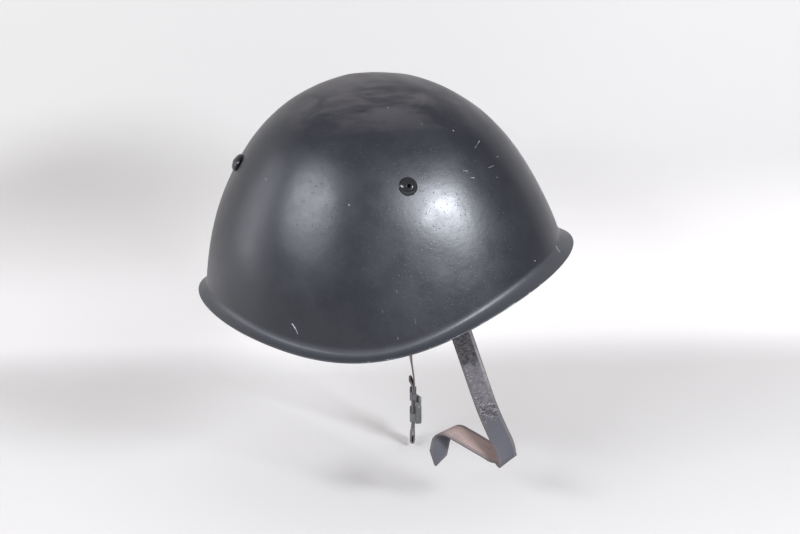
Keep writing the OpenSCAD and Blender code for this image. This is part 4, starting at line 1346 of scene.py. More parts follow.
@dataclass
class Hoop:
    """Oval steel hoop inside the shell, with its hangers, small rivets and felt."""

    shell: Shell
    half_length: float = 108.0
    half_width: float = 85.0
    shift: float = 12.0
    base: float = 56.0
    height: float = 22.0
    thickness: float = 0.8
    layer_gap: float = 0.2
    felt_t: float = 2.0
    hanger_w: float = 18.0
    hanger_t: float = 1.0
    hanger_face: float = 1.9
    pitch: float = 8.4
    head_d: float = 4.6
    head_h: float = 1.1
    shank_d: float = 2.4
    bracket_angle: float = 64.5
    bracket_rivet_z: float = 63.7
    bracket_t: float = 0.9

    def point(self, theta: Numbers, inset: float, z: Numbers) -> np.ndarray:
        """Point of the oval: cosine and sine of the angle times its half length and width."""
        theta, z = paired(theta, z)
        return np.stack([self.shift + (self.half_length - inset) * np.cos(theta),
                         (self.half_width - inset) * np.sin(theta), z], -1)

    def normal(self, theta: Numbers) -> np.ndarray:
        """Outward level direction of the oval."""
        theta = np.asarray(theta, float)
        level = [np.cos(theta) / self.half_length, np.sin(theta) / self.half_width, theta * 0]
        return unit(np.stack(level, -1))

    @property
    def steps(self) -> np.ndarray:
        """Angles at which a band has its rows."""
        return np.linspace(0, 2 * np.pi, 240, endpoint=False)

    def ring(self, name: str, inset: float, thickness: float, low: Numbers, high: Numbers, edge: float,
             across: int = 6) -> bpy.types.Object:
        """Upright band round the oval, its outer side outwards.

        Args:
            name: of the piece.
            inset: of its outer face from the hoop's.
            thickness: of the band.
            low: height of its lower edge, one or one a step.
            high: height of its upper edge, one or one a step.
            edge: reach of its round edges.
            across: faces over the height.

        Returns:
            The piece.
        """
        rows = np.stack([self.point(self.steps, inset + thickness / 2, z) for z in (low, high)], 1)
        return strip(Skin(name), rows, thickness, edge, closed=True, across=across).build()

    def rivet(self, skin: Skin, theta: float, z: float, lift: float) -> None:
        """Two small round rivets beside each other on the hoop.

        Args:
            skin: what they are added to.
            theta: angle on the oval midway between them.
            z: their height.
            lift: of their heads from the hoop's outer face.
        """
        out = self.normal(theta)
        along = np.array([-out[1], out[0], 0])
        angle = np.radians(np.linspace(0, 90, 9))
        dome = np.stack([self.head_d / 2 * np.cos(angle), self.head_h * (0.25 + 0.75 * np.sin(angle))], -1)
        shank = [(0, -lift - self.thickness), (self.shank_d / 2, -lift - self.thickness),
                 (self.shank_d / 2, 0), (self.head_d / 2 - 0.1, 0), (self.head_d / 2, 0.1)]
        profile = np.concatenate([shank, dome])
        for side in (-1, 1):
            spot = self.point(theta, 0, z) + along * side * self.pitch / 2 + out * lift
            turned(skin, Stand.on(spot, out), profile, 24)

    def hanger_theta(self, phi: float) -> float:
        """Angle on the oval that faces a vent rivet."""
        spot = self.shell.rivet_stand(phi).origin
        return float(np.arctan2(spot[1] / self.half_width, (spot[0] - self.shift) / self.half_length))

    def hanger_rows(self, phi: float) -> np.ndarray:
        """Rows of a hanger: up the hoop, a cubic to the shell, then along the shell's inside.

        Args:
            phi: angle of its vent rivet from the front.

        Returns:
            Rows by 2 edges by 3.
        """
        theta = self.hanger_theta(phi)
        out = self.normal(theta)
        along = np.array([-out[1], out[0], 0])
        low = self.point(theta, 0, self.base + 3) + out * (self.layer_gap + 0.2 + self.hanger_t / 2)
        top = low + [0, 0, 14]
        stand = self.shell.rivet_stand(phi)
        flat = unit(np.array([-stand.z[1], stand.z[0], 0]))
        up = unit(np.cross(stand.z, flat))
        v = float(self.shell.rivet_v(phi))
        step = 9 / np.linalg.norm(self.shell.point(phi, 1) - stand.origin) * (1 - v)
        levels = v + np.linspace(1, -1, 9) * step
        inward = self.hanger_face + self.hanger_t / 2
        pad = self.shell.point(phi, levels) - self.shell.normal(phi, levels) * inward
        rise = np.linalg.norm(pad[0] - top) * 0.4
        share = np.linspace(0.1, 0.9, 9)
        middle = bezier(top, top + [0, 0, rise], pad[0] - up * rise, pad[0], share)
        turn = unit(mix(along, flat, share[:, None]))
        half = self.hanger_w / 2
        return np.concatenate([
            [[p - along * half, p + along * half] for p in (low, mix(low, top, 0.5), top)],
            np.stack([middle - turn * half, middle + turn * half], 1),
            np.stack([pad - flat * half, pad + flat * half], 1)])

    def build(self) -> None:
        """Lays the hoop, the felt, the three hangers and the small rivets."""
        top = self.base + self.height
        hoop = self.ring("liner_hoop_band", 0, self.thickness, self.base, top, 0.25)
        dress(hoop, ["hoop_paint"] * 3, "helmet", ["liner_hoop"])
        ragged = 0.25 * np.sin(9 * self.steps) + 0.2 * np.sin(23 * self.steps + 1) + 0.25
        felt = self.ring("felt_band", self.thickness + self.layer_gap, self.felt_t, self.base + ragged, top,
                         0.8)
        dress(felt, ["felt"] * 3, "helmet", ["felt_strip"])
        rivets = Skin("hanger_rivet_heads")
        for name, phi in self.shell.rivet_turns().items():
            rows = run_on(self.hanger_rows(phi), 1.5)
            skin = strip(Skin(f"hanger_{name}_strip"), rows, self.hanger_t, 0.3, ends=0.4)
            dress(skin.build(), ["hoop_paint"] * 3, "helmet", [f"hanger_{name}"])
            self.rivet(rivets, self.hanger_theta(phi), self.base + self.height / 2,
                       self.layer_gap + 0.25 + self.hanger_t)
        dress(rivets.build(), ["plain_steel"], "helmet", ["hanger_rivets"])
        small = Skin("bracket_rivet_heads")
        for side in Side:
            theta = side.value * np.radians(self.bracket_angle)
            self.rivet(small, theta, self.bracket_rivet_z, self.bracket_t + 0.15)
        dress(small.build(), ["plain_steel"], "helmet", ["bracket_rivets"])


@dataclass
class Lining:
    """Leather of the liner: sweatband, eight tongues, and the lace with its knot."""

    hoop: Hoop
    sweatband_base: float = 52.0
    sweatband_h: float = 24.0
    sweatband_t: float = 1.4
    band_gap: float = 0.4
    tongue_t: float = 1.3
    liner_top: float = 143.0
    crown_gap: float = 15.0
    power: float = 1.8
    tongues: int = 8
    lace_ring: float = 24.0
    lace_d: float = 2.4
    lace_hole_d: float = 5.6
    lace_rise: float = 2.8
    stitch: float = 3.4

    @property
    def tongue_inset(self) -> float:
        """Inset of the tongues' outer face from the hoop's."""
        return self.hoop.thickness + 2 * self.hoop.layer_gap + self.hoop.felt_t

    @property
    def spring(self) -> float:
        """Level at which the liner's crown starts to curve in."""
        return self.sweatband_base + self.sweatband_h

    def point(self, phi: Numbers, v: Numbers) -> np.ndarray:
        """Point of the liner's outer face.

        Upright behind the sweatband for v to 1. From 1 to 2 the radius closes in as a
        power of the cosine and the height rises as the same power of the sine.

        Args:
            phi: angle round from the front.
            v: place up the liner, 0 to 2.

        Returns:
            Points by 3.
        """
        phi, v = paired(phi, v)
        tilt = np.pi / 2 * np.clip(v - 1, 0, 1)
        wide = 1 / np.sqrt((np.cos(phi) / (self.hoop.half_length - self.tongue_inset)) ** 2
                           + (np.sin(phi) / (self.hoop.half_width - self.tongue_inset)) ** 2)
        radius = self.crown_gap + (wide - self.crown_gap) * np.abs(np.cos(tilt)) ** (2 / self.power)
        foot = self.sweatband_base + 12
        z = np.where(v < 1, mix(foot, self.spring, v),
                     self.spring + (self.liner_top - self.spring) * np.sin(tilt) ** (2 / self.power))
        return np.stack([self.hoop.shift + radius * np.cos(phi), radius * np.sin(phi), z], -1)

    def normal(self, phi: Numbers, v: Numbers) -> np.ndarray:
        """Outward direction of the liner's face.

        Args:
            phi: angle round from the front.
            v: place up the liner, as for point().

        Returns:
            Directions by 3.
        """
        phi, v = paired(phi, v)
        up = self.point(phi, np.minimum(v + 0.02, 1.99)) - self.point(phi, np.maximum(v - 0.02, 0))
        turn = np.radians(1)
        return unit(np.cross(self.point(phi + turn, v) - self.point(phi - turn, v), up))

    def tongue(self, number: int) -> None:
        """Lays one tongue as a strip whose rows run up the liner, and cuts its lace hole.

        Args:
            number: of the tongue, from 1 at the front.
        """
        phi = 2 * np.pi / self.tongues * (number - 1)
        level = np.array([0, 0.6, 1, 1.1, 1.22, 1.36, 1.5, 1.64, 1.76, 1.86, 1.93, 1.97, 1.985])
        spread = np.radians([21.8, 21.8, 21.6, 20.4, 18.9, 17.6, 16.7, 16, 15.6, 15.5, 15.5, 14.2, 12.4])
        v = np.concatenate([np.linspace(0, 1, 10, endpoint=False),
                            1 + np.linspace(0, 0.985, 60) ** 0.85 * 0.985])
        half = np.interp(v, level, spread)
        share, height, regions = band_section(self.tongue_t, 0.35, 14)
        side = share[:, 0]
        angle = phi + half[:, None] * side[None]
        pull = 0.35 * np.sin(np.clip((v[:, None] - 1) / 0.9, 0, 1) * np.pi) * (1 - side[None] ** 2)
        face = self.point(angle, v[:, None])
        out = self.normal(angle, np.minimum(v[:, None], 1.97))
        inset = share[:, 1] * 0.9
        along = unit(np.cross(UP, out))
        depth = -self.tongue_t / 2 + height[None] - pull * 0.6
        ends = np.minimum(np.arange(len(v)), np.arange(len(v))[::-1])
        thin = np.sqrt(1 - (1 - np.clip(ends / 2.0, 0.1, 1)) ** 2)[:, None]
        depth = -self.tongue_t / 2 + (depth + self.tongue_t / 2) * thin
        points = face + out * depth[..., None] - along * inset[None, :, None]
        chart = flat_map(run_of(face[:, 3]), np.append(side, side[0]) * 30)
        skin = Skin(f"tongue_{number}_leather").grid(points, chart, regions=regions)
        piece = skin.build(50)
        cutter = Skin("lace_hole")
        spot = [self.hoop.shift + self.lace_ring * np.cos(phi), self.lace_ring * np.sin(phi), self.liner_top]
        drill(cutter, Stand.on(spot, [0, 0, 1]), self.lace_hole_d / 2, 9)
        dress(piece, ["liner_flesh", "liner_edge", "liner_leather"], "helmet",
              [f"tongue_{number}"])
        bored(piece, cutter)

    def lace_point(self, angle: Numbers) -> np.ndarray:
        """Point of the lace: a ring whose height follows a sine, once up and down a tongue.

        Args:
            angle: round from the front.

        Returns:
            Points by 3.
        """
        angle = np.asarray(angle, float)
        room = self.hoop.half_length - self.tongue_inset - self.crown_gap
        share = (self.lace_ring - self.crown_gap) / room
        level = 1 + np.arccos(share ** (self.power / 2)) / (np.pi / 2)
        z = float(self.point(0.0, level)[2]) - self.tongue_t / 2
        return np.stack([self.hoop.shift + self.lace_ring * np.cos(angle), self.lace_ring * np.sin(angle),
                         z + self.lace_rise * np.sin(self.tongues * angle)], -1)

    def two_ply(self, count: int, sides: int, turns: float) -> np.ndarray:
        """Radius factor of a cord of two twisted strands, rings by sides."""
        along = np.linspace(0, turns * 2 * np.pi, count, endpoint=False)[:, None]
        angle = np.arange(sides)[None] * 2 * np.pi / sides
        return 0.84 + 0.16 * np.abs(np.cos(angle - along))

    def lace(self) -> None:
        """Lays the lace, its knot and its two ends."""
        angle = np.linspace(0, 2 * np.pi, 480, endpoint=False)
        skin = tube(Skin("crown_lace_cord"), self.lace_point(angle), self.lace_d / 2, True, 14,
                    self.two_ply(480, 14, 40))
        dress(skin.build(60), ["lace_cord"], "helmet", ["crown_lace"])
        at = np.radians(180 + 180 / self.tongues)
        centre = self.lace_point(at)
        along = unit(self.lace_point(at + 0.02) - self.lace_point(at - 0.02))
        stand = Stand.on(centre, along)
        knot = Skin("lace_knot_cord")
        for tilt in (-0.5, 0.5):
            turn = np.linspace(0, 2 * np.pi, 40, endpoint=False)
            wrap = np.stack([1.85 * np.cos(turn), 1.85 * np.sin(turn),
                             tilt * 1.1 * np.cos(turn + tilt) + tilt * 1.5], -1)
            tube(knot, stand.place(wrap), 0.9, True, 12, self.two_ply(40, 12, 2))
        inward = -np.array([np.cos(at), np.sin(at), 0])
        droop = np.radians(28)
        for swing, drop in ((-14, 0.9), (12, 0.5)):
            turn = np.radians(swing)
            way = np.array([inward[0] * np.cos(turn) - inward[1] * np.sin(turn),
                            inward[0] * np.sin(turn) + inward[1] * np.cos(turn), 0])
            share = np.linspace(0, 1, 26)[:, None]
            way = way * np.cos(droop) - np.array([0, 0, np.sin(droop)])
            path = centre + way * (1.5 + 7.5 * share) + np.array([0, 0, -drop]) * share ** 2 * (1 - share)
            size = self.lace_d / 2 * np.interp(share[:, 0], [0, 0.85, 1], [0.92, 0.95, 0.6])
            tube(knot, path, size, False, 12, self.two_ply(26, 12, 3))
        dress(knot.build(60), ["lace_cord"], "helmet", ["lace_knot"])

    def stitches(self) -> None:
        """Row of sewn stitches near the sweatband's lower edge, on its inner face."""
        theta = np.linspace(0, 2 * np.pi, 150, endpoint=False)
        inset = self.tongue_inset + self.tongue_t + self.band_gap + self.sweatband_t
        skin = Skin("sweatband_thread")
        for turn in theta:
            share = np.linspace(-0.5, 0.5, 5)
            spot = self.hoop.point(turn + share * 0.027, inset + 0.05, self.sweatband_base + 3.2)
            lift = (0.18 - 0.5 * np.abs(share) ** 2 * 1.6)[:, None]
            path = spot - self.hoop.normal(np.full(5, turn)) * lift
            tube(skin, path, [0.2, 0.32, 0.36, 0.32, 0.2], sides=6)
        dress(skin.build(80), ["thread"], "helmet")

    def build(self) -> None:
        """Lays the sweatband, its stitches, the tongues and the lace."""
        inset = self.tongue_inset + self.tongue_t + self.band_gap
        wave = 0.3 * np.sin(7 * self.hoop.steps) + 0.2 * np.sin(19 * self.hoop.steps + 2)
        band = self.hoop.ring("sweatband_leather", inset, self.sweatband_t, self.sweatband_base + 0.5 + wave,
                              self.sweatband_base + self.sweatband_h - 0.4 + 0.5 * wave, 0.5, 10)
        dress(band, ["liner_flesh", "liner_edge", "liner_leather"], "helmet", ["sweatband"])
        self.stitches()
        for number in range(1, self.tongues + 1):
            self.tongue(number)
        self.lace()


@dataclass
class StrapEnd:
    """Wire loop in its bracket's eye, and the strap end that is wrapped round its lower wire."""

    hoop: Hoop
    side: Side
    skew: float
    width: float = 16.2
    thickness: float = 1.4
    wire_d: float = 2.4
    loop_inside: float = 21.0
    loop_rise: float = 11.4
    loop_bend: float = 2.6
    eye_z: float = 54.0
    eye_outer: float = 2.18
    play: float = 1.2
    neck: float = 22.0
    tail: float = 24.0
    rivet_at: float = 17.0

    @property
    def ply(self) -> float:
        """Distance from one layer of the strap to the next."""
        return self.thickness + 0.2

    @property
    def wrap(self) -> float:
        """Radius of the strap's middle round the wire."""
        return self.wire_d / 2 + 0.35 + self.thickness / 2

    @property
    def out(self) -> np.ndarray:
        """Level direction out of the hoop at the bracket."""
        return self.hoop.normal(self.side.value * np.radians(self.hoop.bracket_angle))

    @property
    def front(self) -> np.ndarray:
        """Level direction along the hoop, towards the front."""
        turn = np.arctan2(abs(self.out[1]), self.out[0])
        return np.array([np.sin(turn), -self.side.value * np.cos(turn), 0])

    @property
    def eye(self) -> np.ndarray:
        """Middle of the bracket's eye."""
        theta = self.side.value * np.radians(self.hoop.bracket_angle)
        return self.hoop.point(theta, 0, self.eye_z) + self.out * (self.eye_outer + 0.1)

    def point(self, out: Numbers, up: Numbers, along: Numbers) -> np.ndarray:
        """Point of the wrap: out from the wire, up, and along it, turned by the skew.

        Args:
            out: distance out of the hoop.
            up: distance up.
            along: distance towards the front.

        Returns:
            Points by 3.
        """
        out, up, along = (a[..., None] for a in paired(out, up, along))
        turn = np.radians(self.skew)
        base = self.eye - [0, 0, self.loop_rise]
        return (base + self.out * out + self.front * (along * np.cos(turn) - up * np.sin(turn))
                + UP * (self.play + up * np.cos(turn) + along * np.sin(turn)))

    def start_rows(self) -> np.ndarray:
        """Rows up the inner layer, over the wire in a half circle and down the outer layer.

        Returns:
            Rows by 2 edges by 3.
        """
        k = np.arange(0.25, 1.01, 0.25)
        turn = np.radians(np.arange(180, -1, -22.5))
        inner = self.wrap - self.ply
        out = np.concatenate([np.full(3, inner), mix(inner, -self.wrap, smooth(k)),
                              self.wrap * np.cos(turn), [self.wrap, self.wrap]])
        up = np.concatenate([[-self.tail, -self.rivet_at, -11], -mix(11, 3, k), self.wrap * np.sin(turn),
                             [-8, -self.rivet_at]])
        half = self.side.value * self.width / 2
        return np.stack([self.point(out, up, half), self.point(out, up, -half)], 1)

    def neck_start(self) -> tuple[np.ndarray, np.ndarray, np.ndarray]:
        """Where the wrap ends.

        Returns:
            The point, the downward direction and the way across.
        """
        spot = self.point(self.wrap, -self.neck, 0)
        down = unit(self.point(0, -1, 0) - self.point(0, 0, 0))
        across = unit(self.point(0, 0, -self.side.value) - self.point(0, 0, 0))
        return spot, down, across

    def stretch(self, start: np.ndarray, leave: np.ndarray, end: np.ndarray, arrive: np.ndarray,
                first: np.ndarray, last: np.ndarray, steps: int) -> np.ndarray:
        """Free rows from one point to another along a cubic, while the way across turns.

        Args:
            start: middle of the row before them.
            leave: handle of the cubic at its start.
            end: middle of the last row.
            arrive: handle of the cubic at its end.
            first: way across at the start.
            last: way across at the end.
            steps: number of rows.

        Returns:
            Rows by 2 edges by 3.
        """
        share = np.arange(1, steps + 1) / steps
        middle = bezier(start, start + leave, end - arrive, end, share)
        across = unit(mix(first, last, share[:, None])) * self.width / 2
        return np.stack([middle - across, middle + across], 1)

    def loop(self) -> None:
        """Bends the wire loop: a rectangle with round corners, closed."""
        half = self.loop_inside / 2 + self.wire_d / 2
        corners = [(-half, 0), (half, 0), (half, -self.loop_rise), (-half, -self.loop_rise)]
        outline = rounded(corners, self.loop_bend, 8)
        path = self.eye + outline[:, :1] * self.front + outline[:, 1:] * UP
        extra = run_on(np.concatenate([path, path[:1]])[:, None], 0.8)[:-1, 0]
        name = self.side.name.lower()
        skin = tube(Skin(f"wire_loop_{name}_bend"), extra, self.wire_d / 2, True, 16)
        dress(skin.build(60), ["dark_wire"], f"loop_{name}", [f"wire_loop_{name}"])

    def rivet(self) -> None:
        """Turns the strap's rivet: a domed head outside and a flat burr inside."""
        name = self.side.name.lower()
        grip = self.ply + self.thickness + 0.1
        spot = self.point(self.wrap + self.thickness / 2, -self.rivet_at, 0)
        angle = np.radians(np.linspace(0, 90, 9))
        dome = np.stack([2.3 * np.cos(angle), 0.05 + 1.1 * (0.25 + 0.75 * np.sin(angle))], -1)
        profile = np.concatenate([[(0, -grip - 0.6), (1.6, -grip - 0.58), (2.25, -grip - 0.4),
                                   (2.3, -grip - 0.1), (2.2, -grip + 0.1), (1.2, -grip + 0.1), (1.2, 0.05),
                                   (2.2, 0.05), (2.3, 0.15)], dome])
        skin = turned(Skin(f"strap_rivet_{name}_head"), Stand.on(spot, self.out), profile, 32)
        dress(skin.build(), ["strap_brass"], f"{name}_strap", [f"strap_rivet_{name}"])

    def lay(self, skin: Skin, rows: np.ndarray, tip: np.ndarray) -> None:
        """Lays a strap along its rows, and ends it with the rows of its cut tip.

        Args:
            skin: empty skin with the piece's name.
            rows: given rows up to the tip's corner.
            tip: straight rows from the corner to the end.
        """
        body = run_on(rows, 1.1)
        share = np.linspace(0, 1, 9)[1:, None, None]
        ends = [mix(tip[i], tip[i + 1], share) for i in range(len(tip) - 1)]
        all_rows = np.concatenate([body, *ends])
        run = run_of(all_rows.mean(1))
        place, _, _ = band_section(self.thickness, 0.45, 10)
        ripple = ((0.10 * np.sin(run / 9.0)[:, None] + 0.06 * np.sin(run / 3.7 + 1)[:, None])
                  * (0.4 + place[None, :, 0] ** 2))
        strip(skin, all_rows, self.thickness, 0.45, across=10, swell=ripple * 0.8, ends=0.7)
        name = self.side.name.lower()
        # The left strap takes the lighter copy of the edge finish: painted light on its edges.
        edge = "strap_edge" if self.side is Side.RIGHT else "strap_edge_painted_light"
        piece = dress(skin.build(50), ["strap_grain", edge, "strap_flesh"],
                      f"{name}_strap", [f"strap_{name}"])
        log.info("%s runs %.0f mm", piece.name, run[-1])


@dataclass
class RightStrap:
    """Long strap: a leg that leans and twists, a fold, and an end that rolls over."""

    end: StrapEnd
    leg: float = 112.0
    lean: float = 18.4
    gain: float = 6.5
    swing_back: float = 14.0
    twist: float = 34.0
    facing: float = -100.0
    fold_skew: float = 16.0
    fold_r: float = 2.6
    roll_r: float = 5.5
    roll_skew: float = 31.0
    roll_turn: float = 142.0
    roll_at: float = 48.5
    length: float = 76.0
    point_l: float = 10.0

    def leg_rows(self) -> tuple[np.ndarray, np.ndarray, np.ndarray, np.ndarray]:
        """Rows down the leg.

        The lean grows between 50 and 95 and swings back to the fold; the middle line adds
        up its directions in steps of 4. The section twists as a square from 60 on, and the
        way across slants by the same square towards the crease.

        Returns:
            The rows, the leg's last middle point, and its outward and fold directions.
        """
        step = 4.0
        face = np.array([np.cos(np.radians(self.facing)), np.sin(np.radians(self.facing)), 0])
        level = np.array([-face[1], face[0], 0])
        down = np.array([0, 0, -1.0])

        def lean(s: np.ndarray) -> np.ndarray:
            """Lean of the leg at a distance, in radians."""
            grow = smooth(np.clip((s - 50) / 45, 0, 1))
            back = smooth(np.clip((s - 95) / (self.leg - 95), 0, 1))
            return np.radians(self.lean + self.gain * grow - self.swing_back * back)[:, None]

        def ways(s: np.ndarray) -> tuple[np.ndarray, ...]:
            """Run, outward and crosswise directions at a distance.

            Args:
                s: distances down the leg.

            Returns:
                The run, outward, crosswise and slanted directions.
            """
            run = np.sin(lean(s)) * level + np.cos(lean(s)) * down
            flat = np.cos(lean(s)) * level - np.sin(lean(s)) * down
            square = np.clip((s - 60) / (self.leg - 60), 0, 1)[:, None]
            turn = np.radians(self.twist) * square ** 2
            out = np.cos(turn) * face + np.sin(turn) * flat
            across = np.cos(turn) * flat - np.sin(turn) * face
            slant = across - np.tan(np.radians(self.fold_skew) * square) * run
            return run, out, across, slant

        count = int(self.leg // step)
        middles = (np.arange(count) + 0.5) * step
        top = np.array([65.5, -83.5, 7.0])
        spots = np.concatenate([[top], top + step * np.cumsum(ways(middles)[0], axis=0)])
        at = np.arange(count + 1) * step
        slant = ways(at)[3] * self.end.width / 2
        run, out, across, _ = (w[0] for w in ways(np.array([self.leg])))
        skew = np.radians(self.fold_skew)
        fold = np.cos(skew) * run + np.sin(skew) * across
        return np.stack([spots - slant, spots + slant], 1), spots[-1], out, fold

    def rolled(self, s: Numbers, t: Numbers) -> np.ndarray:
        """Point of the rolled end: a plane, bent round a cylinder from a skewed line on.

        Args:
            s: distance along the plane.
            t: distance across it.

        Returns:
            Points by 3.
        """
        s, t = (a[..., None] for a in paired(s, t))
        start = np.array([102.9, -89.7, -109.4])
        run = unit(np.array([-0.84, 0.26, 0.47]))
        side = unit(np.cross(np.cross(run, [0.49, 0.72, 0.49]), run))
        back = np.cross(run, side)
        skew = np.radians(self.roll_skew)
        axis = np.sin(skew) * run - np.cos(skew) * side
        ahead = np.cos(skew) * run + np.sin(skew) * side
        centre = start + self.roll_at * run + self.end.width / 2 * side
        flat = start + s * run + t * side
        q = np.sum((flat - centre) * ahead, -1, keepdims=True)
        limit = np.radians(self.roll_turn)
        a = np.clip(q / self.roll_r, 0, limit)
        past = np.maximum(q - self.roll_r * limit, 0)
        bent = (centre + np.sum((flat - centre) * axis, -1, keepdims=True) * axis
                + self.roll_r * (np.sin(a) * ahead + (1 - np.cos(a)) * back)
                + past * (np.cos(a) * ahead + np.sin(a) * back))
        return np.where(q < 0, flat, bent)

    def build(self) -> None:
        """Joins the wrap, the neck, the leg, the fold and the roll, and lays the strap."""
        leg, foot, out, fold = self.leg_rows()
        spot, down, across = self.end.neck_start()
        run = unit(leg[1].mean(0) - leg[0].mean(0))
        first = unit(leg[0, 1] - leg[0, 0])
        neck = self.end.stretch(spot, down * 5, leg[0].mean(0), run * 5, across, first, 4)
        turn = np.radians(np.arange(20, 181, 20))[:, None]
        bend = foot + fold * self.fold_r * np.sin(turn) - out * self.fold_r * (1 - np.cos(turn))
        slant = leg[-1, 1] - leg[-1].mean(0)
        fold_rows = np.stack([bend - slant, bend + slant], 1)
        s = np.array([16, 24, 33, 42, 48, 51, 54, 57, 60, 63, 66, 69, 72.0])
        wide = self.end.width
        lag = wide * np.tan(np.radians(self.roll_skew))
        back = np.stack([self.rolled(s, 0), self.rolled(s - lag, wide)], 1)
        rows = np.concatenate([self.end.start_rows(), neck, leg[1:], fold_rows, back])
        tip = np.stack([
            back[-1],
            np.stack([self.rolled(self.length - 0.5, 0), self.rolled(self.length + 0.5, wide)]),
            np.stack([self.rolled(self.length + self.point_l, wide / 2 - 0.6),
                      self.rolled(self.length + self.point_l, wide / 2 + 0.6)])])
        self.end.lay(Skin("strap_right_leather"), rows, tip)


@dataclass
class LeftStrap:
    """Short strap: it turns edge on, hangs straight and doubles back through its buckle."""

    end: StrapEnd
    place: tuple = (50.1, 80.0)
    facing: float = -5.7
    drop: float = 148.7
    tail_level: float = 96.0
    tail_lift: float = 2.5
    turn_r: float = 1.3

    @property
    def out(self) -> np.ndarray:
        """Level direction out of the strap's front."""
        return np.array([np.cos(np.radians(self.facing)), np.sin(np.radians(self.facing)), 0])

    @property
    def level(self) -> np.ndarray:
        """Level direction across the strap."""
        return np.array([-self.out[1], self.out[0], 0])

    def point(self, x: Numbers, z: Numbers) -> np.ndarray:
        """Point on the strap's own frame: x out of its front, z up."""
        x, z = (a[..., None] for a in paired(x, z))
        return np.array([*self.place, 0]) + self.out * x + UP * z

    def stand(self) -> Stand:
        """Stand on the strap's frame, upright."""
        return Stand(self.point(0, 0), self.out, self.level, UP)

    def front_stand(self, x: float, z: float) -> Stand:
        """Stand whose Z goes out of the strap's front, and its Y up."""
        return Stand(self.point(x, z), self.level, UP, self.out)

    def side_stand(self, x: float, z: float, y: float = 0.0) -> Stand:
        """Stand whose Z goes across the strap, and its Y up."""
        return Stand(self.point(x, z) + self.level * y, self.out, UP, -self.level)

    def build(self) -> None:
        """Joins the wrap, the twisting neck, the straight run, the turn and the tail."""
        end = self.end
        spot, down, across = end.neck_start()
        bow, top = self.point(-2.7, -78.6), self.point(0, -103)
        way = unit(np.array([0.11, 0, -1]))
        near = unit(mix(across, self.level, 0.9))
        half = self.level * end.width / 2

        def flat(spots: np.ndarray) -> np.ndarray:
            """Rows level across the strap."""
            return np.stack([spots - half, spots + half], 1)
        turn = np.radians(np.arange(0, 181, 22.5))
        k = np.array([0, 0.25, 0.5, 0.75])
        free = self.tail_level + 5
        rows = np.concatenate([
            end.start_rows(),
            end.stretch(spot, down * 35, bow, way * 35, across, near, 12),
            end.stretch(bow, way * 9, top, np.array([0, 0, -9.0]), near, self.level, 5),
            flat(self.point(0, np.linspace(-112, -140, 4))),
            flat(self.point(self.turn_r * (np.cos(turn) - 1), -self.drop - self.turn_r * np.sin(turn))),
            flat(self.point(-end.ply, np.array([-self.drop + 7.2, -130, -115]))),
            flat(self.point(-end.ply - self.tail_lift * k * k, mix(-free, -self.tail_level, k)))])
        last = self.point(-end.ply - self.tail_lift, -self.tail_level)
        tip = np.stack([rows[-1], np.stack([last - half * 0.5, last + half * 0.5])])
        end.lay(Skin("strap_left_leather"), rows, tip)


